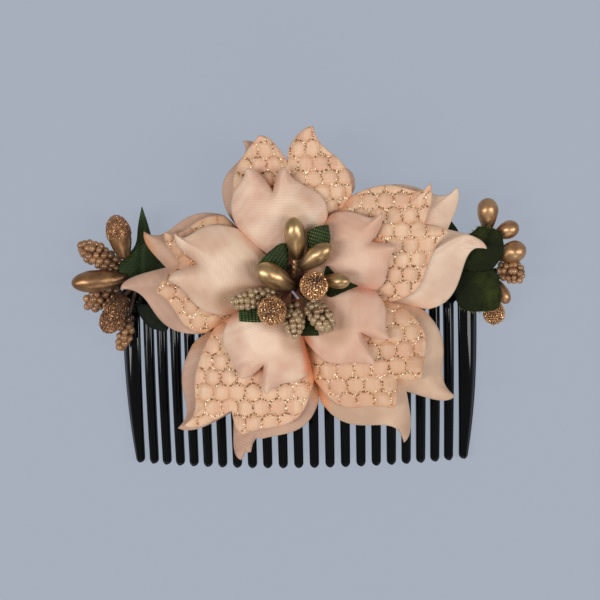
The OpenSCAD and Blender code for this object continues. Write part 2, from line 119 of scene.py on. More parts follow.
# A torn piece of outline before a petal's first tip, the ridge of a petal whose edge rolls over, and the lit
# edge beside the notch of the left back petal, painted with a golden highlight
TORN = {("lower_left", 0): [(42.9, 7.1), (43.8, 6.9), (44.6, 6.8), (45.7, 7), (46.7, 7.2), (46.9, 6.5),
                            (47.1, 5.8), (48.3, 5.9)]}
RIDGES = {("right", 0): [(38.2, -3.7), (42.8, -2.4), (46.3, -2.1), (48.5, -2.7), (50.1, -4.8), (51, -6.8)]}
RIDGE_REACH, VALLEY_SHIFT, VALLEY_DEPTH, VALLEY_REACH = 0.55, 1.4, 0.7, 0.8
LIT_EDGE = [(40.8, -7.4), (39.6, -4.6), (38.2, -2.2)]
LIT_EDGE_GLOW, LIT_EDGE_REACH = 0.9, 0.9
# Seams by their direction: how far the front petals' are turned, and how strongly each is painted with an
# orange glow
FRONT_SEAM_SHIFT = {52.5: 4.5, -15.5: 6.5}
SEAM_GLOW = {136.5: 0.12, 52.5: 0.3, -15.5: 0.35, -78.5: 1.0, -148: 0.6, 212: 0.6}
SEAM_GAP, SEAM_STAGGER, SEAM_REACH, SEAM_ROLL = 0.04, 0.5, 2.5, 0.7
# The lattice on the middle petals: one cell's middle, the cells' pitch, a row's height and slope in degrees
LATTICE = {
    "top": ((4.0, 38.1), 4.05, 3.8, 1),
    "right": ((24.4, 28.1), 4.2, 3.85, 0),
    "lower_right": ((24.3, -10.8), 4.55, 4.2, 3.5),
    "lower_left": ((-8.8, -25.1), 4.25, 4.05, 0),
    "left": ((-32.9, 5.5), 4.1, 3.8, -4),
}
CELL_BULGE, LINE_DEPTH = 0.1, 0.22
GRAIN_STEP, GRAIN_SPREAD, LINE_GAPS, CORNER_SHARE = 0.33, 0.18, 0.07, 0.2
# How far out on a middle petal its granules lie, and the part of the front petal that has none under it
OPEN_SHARE, COVERED_SHARE = 0.965, 0.86
# How many of the granules are bright, with a pale colour that is partly the glitter's own and partly painted
# glints: anywhere, more at the cells' corners, and more in some patches
BRIGHT_SHARE, BRIGHT_AT_CORNERS, BRIGHT_IN_PATCHES = 0.24, 0.2, 0.3
ABOVE_ALL = 60
LATTICE_ROWS, LATTICE_COLUMNS = range(-16, 17), range(-14, 15)
DARK_GRAIN, BRIGHT_GRAIN, GRAIN_TILT = (0.14, 0.24), (0.17, 0.32), 0.35

# Buds: kind, neck, tip, width
BUDS = {
    "gold_bud_upper": ("gold", (1.8, 13.9, 13.6), (0.9, 24.4, 17.2), 5.4),
    "gold_bud_left": ("gold", (0.4, 6.6, 14.5), (-8.5, 12, 17.5), 6),
    "gold_bud_right": ("gold", (2.6, 11.5, 15), (10.4, 17.2, 18), 5),
    "gold_bud_side": ("gold", (7.8, 8.2, 15), (15, 8, 17.4), 4),
    "glitter_bud_right": ("glitter", (5.2, 5, 16.5), (6.6, 8.8, 23.2), 7.2),
    "glitter_bud_left": ("glitter", (-3.8, 1.8, 16), (-5.2, 0.4, 23), 7.4),
    "beaded_bud_left": ("beaded", (-3.8, 5, 14.1), (-15.8, 2.8, 16.9), 5.4),
    "beaded_bud_lower": ("beaded", (0.3, 2.6, 14.5), (0.9, -6.3, 17.6), 5.6),
    "beaded_bud_right": ("beaded", (4.2, 2.8, 14.6), (10.4, -4.4, 17.8), 6.2),
    "left_capped_bud": ("capped", (-46.1, 14.1, -6), (-48.2, 25.6, -4), 6.4),
    "left_beaded_bud_upper": ("beaded blunt", (-47.2, 11, -7.2), (-58.6, 18.2, -5.6), 6.6),
    "left_gold_bud": ("gold", (-45.3, 8.8, -4.9), (-60.3, 7.6, -3.4), 6),
    "left_beaded_bud_lower": ("beaded blunt", (-48, 6.2, -8.8), (-58.2, 0.7, -8.4), 6.2),
    "left_glitter_bud": ("glitter blunt", (-46.3, 4, -4.4), (-51.8, -5.8, -3.8), 6.3),
    "left_beaded_bud_end": ("beaded blunt", (-45.7, -1.2, -8.2), (-48.4, -11.5, -9), 4.8),
    "right_gold_bud_top": ("gold", (51.5, 20.2, -7), (51.6, 28.2, -5.5), 5.6),
    "right_gold_bud_upper": ("gold", (53.6, 18.2, -7.5), (59.6, 20.8, -6), 4.8),
    "right_gold_bud_middle": ("gold", (54.2, 12.7, -7.5), (61.3, 14.7, -4.5), 5.8),
    "right_beaded_bud": ("beaded blunt", (53.9, 9, -8.5), (61.4, 7.7, -6.5), 6.2),
    "right_gold_bud_lower": ("gold", (54.2, 5.6, -10.2), (56.8, -0.2, -9.2), 3.6),
    "right_glitter_bud": ("glitter", (53, 1.2, -12), (53.5, -6, -11.4), 6),
}
# Where the widest place is along a bud, and the neck's part of the width
BUD_SHAPE = {
    "gold": (0.6, 0.45), "capped": (0.6, 0.45), "glitter": (0.6, 0.35), "glitter blunt": (0.65, 0.6),
    "beaded": (0.5, 0.55), "beaded blunt": (0.6, 0.62),
}
# Spacing and half width of the seeds, by the first word of a bud's name, and of the granules
SEEDS = {"beaded": (1.7, 0.95), "left": (2.0, 1.1), "right": (1.75, 0.93)}
GRANULES = (0.72, 0.25)
GRANULE_LENGTH = 2.2
ROW_STEP, SLOPE_STEP, JITTER, LIE_TILT = 0.88, 0.05, 0.1, 0.35
SEED_SIZES, CORE_INSET, BALL_INSET = (0.78, 1.1), 1.3, 0.8
NECK_FOLDS, NECK_REACH, UNEVENNESS = 0.05, 0.45, 0.012
CENTRE_BUDS = list(BUDS)[:9]
# Stems: start, hub and the buds they lead to
STEMS = {
    "centre_stems": ((0.5, 7.4, 2.4), (0.5, 7.4, 9), CENTRE_BUDS),
    "left_stems": ((-37, 3, -5.8), (-43, 7, -7.5), list(BUDS)[9:15]),
    "right_stems": ((38, 3, -6.4), (46, 7.5, -9), list(BUDS)[15:]),
}

# Comb
TOOTH_COUNT = 23
TOOTH_PITCH = 4.3
TOOTH_LENGTH = 43
ROOT_WIDTH, TIP_WIDTH = 3.05, 2.6
THICKNESS, TIP_THICKNESS = 2.5, 2.3
TIP_DROOP = 1.2
TIP_START = TIP_WIDTH / 2 - TOOTH_LENGTH
SPINE_HEIGHT, SPINE_EDGE, SPINE_CORNER = 5.5, 0.8, 2.5
END_SHIFT, END_ROOT_HALF, END_TIP_HALF, END_CURVE = 0.5, 4.5, 1.35, 2.7
SLOT_RADIUS = (TOOTH_PITCH - ROOT_WIDTH) / 2
TOOTH_CORNER, ROOT_CORNER = 0.85, 0.35
CROWN, CROWN_STEPS = 0.42, 8
TOOTH_OVERLAP, SPINE_INSET, SPINE_LOW, END_ROUNDING = 0.02, 0.5, 0.15, 2.0
PAD_MIDDLE, PAD_RADIUS, PAD_TOP, PAD_BOTTOM, PAD_SIDES = (-0.5, 5), 9, 1.85, 0.2, 72


# Helpers

def new_object(name, data):
    obj = bpy.data.objects.new(name, data)
    bpy.context.collection.objects.link(obj)
    return obj


def to_frame(points):
    """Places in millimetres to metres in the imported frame."""
    return (np.asarray(points, float) - FRAME_ORIGIN) * MM


def make_piece(name, vertices, faces, slot, *materials, node=None, smooth=True, **attributes):
    """A piece of the comb from places in millimetres, which may stand for a node of the part. The
    attributes are values for each vertex that the materials use."""
    mesh = bpy.data.meshes.new(name)
    mesh.from_pydata(to_frame(vertices).tolist(), [], faces)
    mesh.update()
    mesh.polygons.foreach_set("use_smooth", [smooth] * len(faces))
    for key, values in attributes.items():
        kind, field = ("FLOAT_VECTOR", "vector") if values.ndim == 2 else ("FLOAT", "value")
        mesh.attributes.new(key, kind, "POINT").data.foreach_set(field, values.ravel())
    for material in materials:
        mesh.materials.append(material)
    obj = new_object(name, mesh)
    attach(obj, "root")
    if node:
        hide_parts(node)
    return obj


def declare_sheet(outline):
    """Works out a cloth piece's flat size and area from its outline, unless it is smaller than a sheet may
    be; nothing is done with them.
    """
    length, width = (np.ptp(outline, axis=0) * MM).tolist()
    if min(length, width) >= SMALLEST_SHEET:
        following = np.roll(outline, -1, 0)
        area = abs(outline[:, 0] @ following[:, 1] - outline[:, 1] @ following[:, 0]) / 2 * MM ** 2
        area = min(float(area), width * length)


def joined(parts):
    """One list of vertices and one of faces from several."""
    vertices, faces = [], []
    for points, sides in parts:
        faces += [tuple(i + len(vertices) for i in side) for side in sides]
        vertices += list(points)
    return vertices, faces


def quads(first, gaps, n):
    """Faces between rings of n points, the first ring starting at that index."""
    return [(a + k, a + (k + 1) % n, a + n + (k + 1) % n, a + n + k)
            for a in range(first, first + gaps * n, n) for k in range(n)]


def capped(rings, n):
    """Faces from one point over rings of n points to a last point."""
    around = [(k, (k + 1) % n) for k in range(n)]
    last = 1 + (rings - 1) * n
    return ([(0, 1 + j, 1 + k) for k, j in around] + quads(1, rings - 1, n)
            + [(last + k, last + j, last + n) for k, j in around])


def turned(p, angle):
    a = radians(angle)
    return p @ np.array([[cos(a), sin(a)], [-sin(a), cos(a)]])


def arc(middle, radius, first, last, count):
    angles = [radians(first + (last - first) * k / (count - 1)) for k in range(count)]
    return [(middle[0] + radius * cos(a), middle[1] + radius * sin(a)) for a in angles]


def cubic(handles, steps):
    a, b, c, d = handles
    t = np.linspace(0, 1, steps, endpoint=False)[:, None]
    return a * (1 - t) ** 3 + 3 * b * t * (1 - t) ** 2 + 3 * c * t * t * (1 - t) + d * t ** 3


def bell(distance, reach):
    return np.exp(-distance ** 2 / (2 * reach ** 2))


def ease(low, high, x):
    """0 below low and 1 above high, with a soft way between."""
    t = np.clip((x - low) / (high - low), 0, 1)
    return t * t * (3 - 2 * t)


def to_place(p, place):
    return np.hypot(p[:, 0] - place[0], p[:, 1] - place[1])


def to_line(p, line):
    """Distance of each point of p to a line through several places."""
    best = np.full(len(p), np.inf)
    for a, b in zip(np.array(line[:-1], float), np.array(line[1:], float)):
        t = np.clip(((p - a) @ (b - a)) / ((b - a) @ (b - a)), 0, 1)
        best = np.minimum(best, np.hypot(*(p - a - t[:, None] * (b - a)).T))
    return best


def run_along(line):
    """Distance along a line at each of its points."""
    return np.r_[0, np.cumsum(np.hypot(*np.diff(line, axis=0).T))]


def inside(outline, p):
    """True for each point of p inside the outline."""
    result = np.zeros(len(p), bool)
    for (x0, y0), (x1, y1) in zip(outline, np.roll(outline, -1, 0)):
        crosses = (y0 > p[:, 1]) != (y1 > p[:, 1])
        with np.errstate(divide="ignore", invalid="ignore"):
            result ^= crosses & (p[:, 0] < x0 + (p[:, 1] - y0) * (x1 - x0) / (y1 - y0))
    return result


def along_edge(outline):
    """Unit directions along a clockwise outline and out of it, at each point."""
    tangent = np.roll(outline, -1, 0) - np.roll(outline, 1, 0)
    tangent /= np.maximum(np.hypot(*tangent.T), 1e-9)[:, None]
    return tangent, np.stack([-tangent[:, 1], tangent[:, 0]], 1)


def soften(loop, reach):
    """A closed line rounded over about that part of its points."""
    cycles = np.fft.fftfreq(len(loop), 1 / len(loop))[:, None]
    return np.real(np.fft.ifft(np.fft.fft(loop, axis=0) * np.exp(-2 * (np.pi * reach * cycles) ** 2), axis=0))


def shell(outline, centre, rings, wall, height, place):
    """Closed shell over an outline with a round rim, and rounder rings further in. Gives its vertices and
    faces, and the flat place, the part of the way to the rim and the outline's point for each vertex."""
    n = len(outline)
    outward = along_edge(outline)[1]
    inner = list(rings[:-1])
    rim = [(1, 0, 0.12 * wall), (1, 0.14 * wall, 0.5 * wall), (1, 0, 0.88 * wall)]
    levels = [(s, 0, 0) for s in inner] + rim + [(s, 0, wall) for s in inner[::-1]]
    flat, part, drop = [centre[None]], [0], [0]
    for s, out, down in levels:
        flat.append(centre + s * (soften(outline, ROUNDING * (1 - s)) - centre) + out * outward)
        part += [s] * n
        drop += [down] * n
    flat = np.vstack(flat + [centre[None]])
    part = np.array(part + [0], float)
    index = np.r_[0, np.tile(np.arange(n), len(levels)), 0]
    z = height(flat, part, index) - (drop + [wall])
    return np.column_stack([place(flat), z]), capped(len(levels), n), flat, part, index


# Materials

class Surface:
    """The nodes of one material. Each method adds a node and gives its output."""

    def __init__(self, name, **values):
        self.material = bpy.data.materials.new(name)
        self.material.use_nodes = True
        self.tree = self.material.node_tree
        self.set(**values)

    def put(self, socket, value):
        """Links an output to a socket, or sets it to a number or colour."""
        if isinstance(value, bpy.types.NodeSocket):
            self.tree.links.new(value, socket)
        elif value is not None:
            socket.default_value = (*value, 1) if isinstance(value, tuple) else value

    def set(self, **values):
        """Gives sockets of the shader their values."""
        for key, value in values.items():
            self.put(self.tree.nodes["Principled BSDF"].inputs[key.replace("_", " ")], value)

    def node(self, kind, *inputs, **values):
        """A node with inputs in turn, and its settings and more inputs by name."""
        node = self.tree.nodes.new("ShaderNode" + kind)
        for socket, value in zip(node.inputs, inputs):
            self.put(socket, value)
        for key, value in values.items():
            if hasattr(node, key):
                setattr(node, key, value)
            else:
                self.put(node.inputs[key.replace("_", " ")], value)
        return node

    def attribute(self, name, output="Fac"):
        return self.node("Attribute", attribute_name=name).outputs[output]

    def place(self):
        return self.node("TexCoord").outputs["Object"]

    def ramp(self, factor, *stops):
        """Greys at positions of the factor."""
        node = self.node("ValToRGB", factor)
        elements = node.color_ramp.elements
        while len(elements) < len(stops):
            elements.new(0.5)
        for element, (position, grey) in zip(elements, stops):
            element.position = position
            element.color = (grey, grey, grey, 1)
        return node.outputs["Color"]

    def mix(self, factor, a, b):
        node = self.node("Mix", factor, data_type="RGBA")
        self.put(node.inputs[6], a)
        self.put(node.inputs[7], b)
        return node.outputs[2]

    def maths(self, operation, *values, clamp=False):
        return self.node("Math", *values, operation=operation, use_clamp=clamp).outputs[0]

    def times(self, a, b, clamp=False):
        return self.maths("MULTIPLY", a, b, clamp=clamp)

    def minus(self, a, b, clamp=False):
        return self.maths("SUBTRACT", a, b, clamp=clamp)

    def bump(self, height, strength, depth, normal=None):
        node = self.node("Bump", strength, depth * MM, Height=height, Normal=normal)
        return node.outputs[0]

    def wave(self, vector, scale, direction, distortion, detail_scale=1.0):
        return self.node("TexWave", vector, bands_direction=direction, Scale=scale, Distortion=distortion,
                         Detail_Scale=detail_scale).outputs["Fac"]

    def noise(self, vector, scale, detail, rough=0.5):
        node = self.node("TexNoise", vector, Scale=scale, Detail=detail, Roughness=rough)
        return node.outputs["Fac"]

    def weave(self, flat, fine, thread_depth, relief, relief_depth):
        """Weft and warp threads, fine unevenness and a larger relief, as bumps; gives the threads' height."""
        weft = self.wave(flat, 0.45, "X", 1.2, 0.4)
        warp = self.wave(flat, 0.7, "Y", 0.8, 0.4)
        threads = self.maths("MULTIPLY_ADD", weft, 2.0, warp)
        normal = self.bump(fine, 0.35, 0.15, self.bump(threads, 0.5, thread_depth))
        self.set(Normal=self.bump(relief, 1.0, relief_depth, normal))
        return threads


# Colour of the painted brown shade beside the buds
BUD_SHADE_COLOUR = (0.36, 0.17, 0.07)
FRAYED_COLOUR = (0.36, 0.33, 0.12)
LINE_BROWN, LINE_GOLD, LATTICE_GLOW_AND_SHADE = (0.16, 0.085, 0.035), (0.66, 0.42, 0.19), (0.68, 0.25, 0.09)


def satin(name, light, shade, glow_and_shade, rough):
    """Fine woven satin. light and shade mix in soft patches, a painted orange glow and shade shows along the
    seams and rims, and a painted brown shade beside the buds."""
    s = Surface(name, Roughness=rough, Specular_IOR_Level=0.35, Sheen_Weight=0.25, Sheen_Roughness=0.5)
    flat = s.attribute("flat", "Vector")
    fine = s.noise(flat, 1.6, 4, 0.6)
    threads = s.weave(flat, fine, 0.028, s.wave(flat, 0.2, "DIAGONAL", 2.5, 0.6), 0.05)
    body = s.mix(s.ramp(s.noise(flat, 0.09, 2), (0.38, 0), (0.62, 1)), shade, light)
    body = s.mix(s.times(s.times(threads, fine), 0.16), body, shade)
    body = s.mix(s.attribute("glow_and_shade"), body, glow_and_shade)
    s.set(Base_Color=s.mix(s.attribute("bud_shade"), body, BUD_SHADE_COLOUR))
    return s.material


def lattice_satin(name, cream, pink):
    """Cloth with rounded cells in a brick layout between dotted lines of dark and gold glitter."""
    s = Surface(name, Roughness=0.42, Specular_IOR_Level=0.4, Sheen_Weight=0.2)
    flat = s.attribute("flat", "Vector")
    fine = s.noise(flat, 1.8, 4, 0.6)
    u, v, _ = s.node("SeparateXYZ", s.attribute("cell", "Vector")).outputs
    above = s.minus(v, 0.5)
    r = s.maths("ROUND", above)
    bulge = s.times(s.maths("COSINE", s.times(r, pi)), s.maths("COSINE", s.times(u, 2 * pi)))
    off = s.minus(s.minus(above, r), s.times(bulge, CELL_BULGE))
    row = s.maths("ADD", r, s.maths("GREATER_THAN", off, 0.0))
    column = s.minus(u, s.times(s.minus(1.0, s.maths("COSINE", s.times(row, pi))), 0.25))
    upright = s.maths("ABSOLUTE", s.minus(s.maths("FRACT", column), 0.5))
    edge = s.maths("SMOOTH_MIN", upright, s.maths("ABSOLUTE", off), 0.12)
    # One steady tone for each cell
    which = s.node("CombineXYZ", s.maths("FLOOR", column), s.maths("ROUND", row)).outputs[0]
    tone = s.node("TexWhiteNoise", Vector=which, noise_dimensions="2D").outputs["Value"]
    body = s.mix(s.times(tone, 0.75), cream, pink)
    body = s.mix(s.times(fine, 0.2), body, pink)
    # The cloth is drawn in along the lines and painted darker there as shade, takes the painted orange glow
    # and shade of its seams and rims, and the glitter lies along the lines in dots
    dome = s.ramp(edge, (0.0, 0), (0.1, 0.55), (0.3, 1))
    body = s.mix(s.times(s.minus(1.0, dome), 0.42), body, LATTICE_GLOW_AND_SHADE)
    body = s.mix(s.attribute("glow_and_shade"), body, LATTICE_GLOW_AND_SHADE)
    dots = s.node("TexVoronoi", Vector=flat, Scale=2.3).outputs["Distance"]
    dot = s.times(s.ramp(dots, (0.3, 1), (0.42, 0)), s.ramp(edge, (0.045, 1), (0.11, 0)))
    strength = s.times(s.times(dot, s.attribute("open")), 0.85, clamp=True)
    s.set(Base_Color=s.mix(strength, body, s.mix(s.noise(flat, 1.3, 1), LINE_BROWN, LINE_GOLD)))
    s.weave(flat, fine, 0.02, dome, 0.26)
    return s.material


def metal(name, base, dark, rough, metallic, coat=0.0, grain=1500, relief=0.05):
    """Painted or glittered metal colour with darker patches and a fine grain, and painted shade, dark where
    shade is 1.
    """
    s = Surface(name, Metallic=metallic, Coat_Weight=coat, Coat_Roughness=0.12)
    where = s.place()
    grains = s.noise(where, grain, 4, 0.6)
    body = s.mix(s.ramp(s.noise(where, 350, 3), (0.3, 0), (0.62, 1)), dark, base)
    body = s.mix(s.attribute("shade"), body, tuple(0.2 * part for part in dark))
    s.set(Base_Color=body, Roughness=s.maths("ADD", s.times(grains, 0.16), rough - 0.08),
          Normal=s.bump(grains, 0.5, relief))
    return s.material


def ribbon(name, light, dark, rib_scale, rib_direction, shine, low, high):
    """Green ribbon or leaf cloth with ribs. low and high are where its pattern turns from dark to light."""
    s = Surface(name, Roughness=0.5, Specular_IOR_Level=shine)
    flat = s.attribute("flat", "Vector")
    cross = s.wave(flat, rib_scale * 1.5, "Y" if rib_direction == "X" else "X", 0.6)
    pattern = s.times(s.wave(flat, rib_scale, rib_direction, 0.3), cross)
    fine = s.noise(flat, 1.2, 4, 0.6)
    shown = s.times(s.maths("ADD", pattern, 0.15), s.times(s.noise(flat, 0.5, 2), 2.0))
    body = s.mix(s.ramp(shown, (low, 0), (high, 1)), dark, light)
    body = s.mix(s.times(fine, 0.3), body, dark)
    body = s.mix(s.times(s.ramp(s.noise(flat, 0.13, 1), (0.4, 0), (0.56, 1)), 0.65), body, dark)
    # Painted shade where a leaf is out of the light
    body = s.mix(s.minus(1.0, s.attribute("lit"), clamp=True), body, dark)
    s.set(Base_Color=s.mix(s.attribute("frayed"), body, FRAYED_COLOUR),
          Normal=s.bump(fine, 0.4, 0.1, s.bump(pattern, 0.6, 0.18)))
    return s.material


def black_plastic():
    s = Surface("black gloss plastic", Specular_IOR_Level=0.25)
    cloud = s.noise(s.place(), 60, 4)
    fine = s.noise(s.place(), 900, 3)
    s.set(Base_Color=s.mix(cloud, (0.0006, 0.0012, 0.0019), (0.0014, 0.0025, 0.0036)),
          Roughness=s.maths("ADD", s.times(fine, 0.03), 0.035), Normal=s.bump(cloud, 0.06, 0.3))
    return s.material


def brown_felt():
    s = Surface("brown felt", Roughness=0.95, Sheen_Weight=0.4)
    s.set(Base_Color=s.mix(s.noise(s.place(), 150, 3), (0.20, 0.15, 0.11), (0.34, 0.27, 0.20)),
          Normal=s.bump(s.noise(s.place(), 1800, 6, 0.7), 0.8, 0.3))
    return s.material


# Colours of the painted orange glow and shade at the seams, rims, roots and notches
DEEP_GLOW_AND_SHADE, LIGHT_GLOW_AND_SHADE = (0.74, 0.18, 0.055), (0.78, 0.28, 0.10)
# The petals' satins. Besides their dyes they differ in brightness painted for how light falls on each petal:
# the shaded copies are darker, the lit cream one lighter.
PEACH_SATIN = satin("peach satin", (0.90, 0.68, 0.52), (0.70, 0.435, 0.32), DEEP_GLOW_AND_SHADE, 0.40)
PINK_SATIN = satin("pink satin", (0.82, 0.565, 0.43), (0.69, 0.41, 0.295), DEEP_GLOW_AND_SHADE, 0.40)
SHADED_PEACH_SATIN = satin("shaded peach satin", (0.82, 0.62, 0.465), (0.68, 0.44, 0.32), DEEP_GLOW_AND_SHADE, 0.38)
TAN_SHADED_SATIN = satin("tan shaded satin", (0.62, 0.40, 0.29), (0.51, 0.315, 0.23), (0.62, 0.27, 0.10), 0.45)
CREAM_LIT_SATIN = satin("cream lit satin", (0.83, 0.64, 0.49), (0.70, 0.48, 0.355), LIGHT_GLOW_AND_SHADE, 0.36)
SAND_SHADED_SATIN = satin("sand shaded satin", (0.71, 0.50, 0.355), (0.55, 0.365, 0.255), LIGHT_GLOW_AND_SHADE, 0.40)
SHADED_LATTICE = lattice_satin("shaded lattice satin", (0.76, 0.51, 0.325), (0.66, 0.365, 0.24))
LIGHT_LATTICE = lattice_satin("lattice satin", (0.84, 0.585, 0.39), (0.73, 0.42, 0.285))
PETAL_CLOTH = {
    "top": (TAN_SHADED_SATIN, LIGHT_LATTICE, PEACH_SATIN),
    "right": (CREAM_LIT_SATIN, LIGHT_LATTICE, PINK_SATIN),
    "lower_right": (SAND_SHADED_SATIN, SHADED_LATTICE, PINK_SATIN),
    "lower_left": (TAN_SHADED_SATIN, LIGHT_LATTICE, PEACH_SATIN),
    "left": (TAN_SHADED_SATIN, SHADED_LATTICE, SHADED_PEACH_SATIN),
}
GOLD = metal("old gold paint", (0.60, 0.41, 0.21), (0.34, 0.205, 0.095), 0.37, 0.85, 0.1)
ROSE_GOLD = metal("rose gold paint", (0.62, 0.38, 0.20), (0.38, 0.20, 0.095), 0.38, 0.82, 0.05)
BROWN_GOLD = metal("brown gold paint", (0.40, 0.22, 0.105), (0.22, 0.11, 0.052), 0.34, 0.8, 0.1)
BRONZE_GRAINS = metal("bronze glitter", (0.86, 0.50, 0.25), (0.46, 0.22, 0.09), 0.22, 0.62, 0, 2500)
BROWN_GRAINS = metal("brown glitter", (0.54, 0.29, 0.15), (0.20, 0.09, 0.045), 0.28, 0.6, 0, 2500)
BRONZE_CORE = metal("bronze core", (0.12, 0.048, 0.018), (0.04, 0.018, 0.008), 0.6, 0.3, 0, 1800, 0.1)
KHAKI_SEEDS = metal("khaki seeds", (0.50, 0.36, 0.205), (0.27, 0.15, 0.07), 0.24, 0.2, 0.9, 1200, 0.06)
AMBER_SEEDS = metal("amber seeds", (0.44, 0.24, 0.11), (0.21, 0.09, 0.042), 0.24, 0.15, 0.5, 1200, 0.06)
AMBER_CORE = metal("amber core", (0.12, 0.045, 0.022), (0.05, 0.02, 0.012), 0.4, 0.1, 0, 1800, 0.1)
SEED_CORE = metal("seed core", (0.09, 0.042, 0.015), (0.04, 0.018, 0.007), 0.6, 0.2, 0, 1800, 0.1)
DARK_WIRE = metal("dark wire", (0.03, 0.018, 0.012), (0.012, 0.008, 0.006), 0.5, 0.2, 0, 1500, 0.06)
WIRE = metal("wound wire", (0.15, 0.075, 0.045), (0.055, 0.025, 0.018), 0.45, 0.3, 0, 1500, 0.06)
BRAID = metal("bronze braid", (0.50, 0.29, 0.15), (0.22, 0.11, 0.05), 0.35, 0.6, 0, 1500, 0.06)
BARE_END = metal("bare stem end", (0.52, 0.47, 0.56), (0.36, 0.31, 0.40), 0.4, 0, 0, 900)
# Lattice glitter: the bright granules' pale colour is partly the glitter's own and partly painted glints
LINE_DARK = metal("dark glitter", (0.30, 0.17, 0.07), (0.11, 0.055, 0.02), 0.35, 0.5, 0, 2500)
LINE_BRIGHT = metal("bright glitter", (1.0, 0.88, 0.68), (0.95, 0.74, 0.48), 0.25, 0.3, 0, 2500)
RIBBON = ribbon("green ribbon", (0.17, 0.23, 0.065), (0.009, 0.022, 0.004), 0.36, "X", 0.2, 0.25, 0.8)
LEAF_WOVEN = ribbon("woven leaf", (0.125, 0.175, 0.022), (0.007, 0.011, 0.003), 0.7, "X", 0.12, 0.2, 0.9)
LEAF_DARK = ribbon("dark leaf", (0.016, 0.030, 0.009), (0.004, 0.009, 0.003), 0.6, "X", 0.2, 0.2, 0.9)
LEAF_SATIN = ribbon("satin leaf", (0.075, 0.14, 0.035), (0.014, 0.026, 0.006), 0.5, "DIAGONAL", 0.25, 0.1,
                    0.8)


# Petals

def petal_outline(name, layer, density):
    """Outline clockwise from above, along and across the petal's axis, and how strongly each point's seam
    rolls in and glows."""
    wide_plus, tip_plus, notch, tip_minus, wide_minus = [np.array(v, float) for v in PETALS[name][layer]]

    def side(wide):
        root = np.array([ROOT_START, copysign(ROOT_HALF, wide[1])])
        reach = wide[0] - root[0]
        spread = np.array([1, copysign(tan(radians(SIDE_SPREAD)), wide[1])])
        return root, root + SIDE_START * reach * spread, wide - [SIDE_FULLNESS * reach, 0], wide

    def shoulder(wide, tip):
        point = POINT_LENGTH * np.hypot(*(tip[:2] - wide))
        return (wide, wide + [SHOULDER_FULLNESS * (tip[0] - wide[0]), 0],
                tip[:2] - turned(np.array([point, 0]), tip[2]), tip[:2])

    def inner(tip):
        end = tip[:2]
        reach = end - notch
        spread = tip[4] if len(tip) > 4 else NOTCH_SPREAD
        return end, end - [0, INNER_FULLNESS * reach[1]], notch + reach * [INNER_FULLNESS, spread], notch

    outer_edge = cubic(shoulder(wide_plus, tip_plus), 6 * density)
    if (name, layer) in TORN:
        torn = np.array(TORN[name, layer])
        outer_edge = np.vstack([outer_edge[outer_edge[:, 0] < torn[0, 0]], torn])
    outline = np.vstack([
        cubic(side(wide_plus), 4 * density),
        outer_edge,
        cubic(inner(tip_plus), 3 * density),
        cubic(inner(tip_minus)[::-1], 3 * density),
        cubic(shoulder(wide_minus, tip_minus)[::-1], 6 * density),
        cubic(side(wide_minus)[::-1], 4 * density),
        [[ROOT_START, -ROOT_HALF]],
    ])
    direction, *seams = FLOWER[name]
    shift = FRONT_SEAM_SHIFT if layer == 2 else {}
    angles = [seam + SEAM_STAGGER * (1 - layer) + shift.get(seam, 0) - direction for seam in seams]
    x, y = outline.T
    plus, minus = [x * tan(radians(angle)) for angle in angles]
    plus, minus = plus - SEAM_GAP, minus + SEAM_GAP
    near = [1 - ease(0, SEAM_REACH, away) for away in (plus - y, y - minus)]
    glow = [share * SEAM_GLOW[seam] for share, seam in zip(near, seams)]
    outline[:, 1] = np.clip(y, minus, plus)
    return outline, np.maximum(*near), np.maximum(*glow)


def petal_place(name, p):
    """Places in millimetres from those along and across a petal's axis."""
    return FLOWER_MIDDLE + turned(p, FLOWER[name][0])


def petal_height(name, layer, p, s, seam):
    """Height at places p of a petal; s is 0 in its middle and 1 at its rim."""
    _, tip_plus, notch, tip_minus, _ = PETALS[name][layer]
    curl = np.maximum(*[tip[3] * bell(to_place(p, tip), CURL_REACH) for tip in (tip_plus, tip_minus)])
    to_notch = np.clip(p[:, 0] / notch[0], 0, 1)
    dip = NOTCH_DIP * bell(p[:, 1] - notch[1], DIP_REACH) * to_notch ** 2 * (1 - s)
    crease = CREASE * bell(p[:, 1] - notch[1] * to_notch, CREASE_REACH) * (1 - s ** 4)
    crease *= ease(0.8, 1, to_notch)
    x = petal_place(name, p)[:, 0]
    base = LAYER_HEIGHT[layer] + (p[:, 0] / TIP_RISE) ** 2 - x * x / (2 * BEND_RADIUS)
    if (name, layer) in RIDGES:
        ridge = RIDGES[name, layer]
        base += bell(to_line(p, ridge), RIDGE_REACH)
        base -= VALLEY_DEPTH * bell(to_line(p - [0, VALLEY_SHIFT], ridge), VALLEY_REACH) * (1 - s ** 6)
    roll = SEAM_ROLL * seam * ease(0.8, 1, s)
    return base + LAYER_PUFF[layer] * (1 - s ** 3) - dip - crease - roll + LAYER_CURL[layer] * curl


def lattice_cells(name, xy):
    """Column and row of each place in the petal's lattice, counted from the cell named in LATTICE."""
    start, pitch, row_height, slope = LATTICE[name]
    return turned(xy - np.array(start), -slope) / (pitch, row_height)


def to_lattice(u, v):
    """Distance in cells to the nearest line of the brick layout, whose rows bulge up and down."""
    r = np.round(v - 0.5)
    off = v - 0.5 - r - CELL_BULGE * np.cos(np.pi * r) * np.cos(2 * np.pi * u)
    column = u - 0.25 * (1 - np.cos(np.pi * (r + (off > 0))))
    return np.minimum(np.abs(column - np.floor(column) - 0.5), np.abs(off))


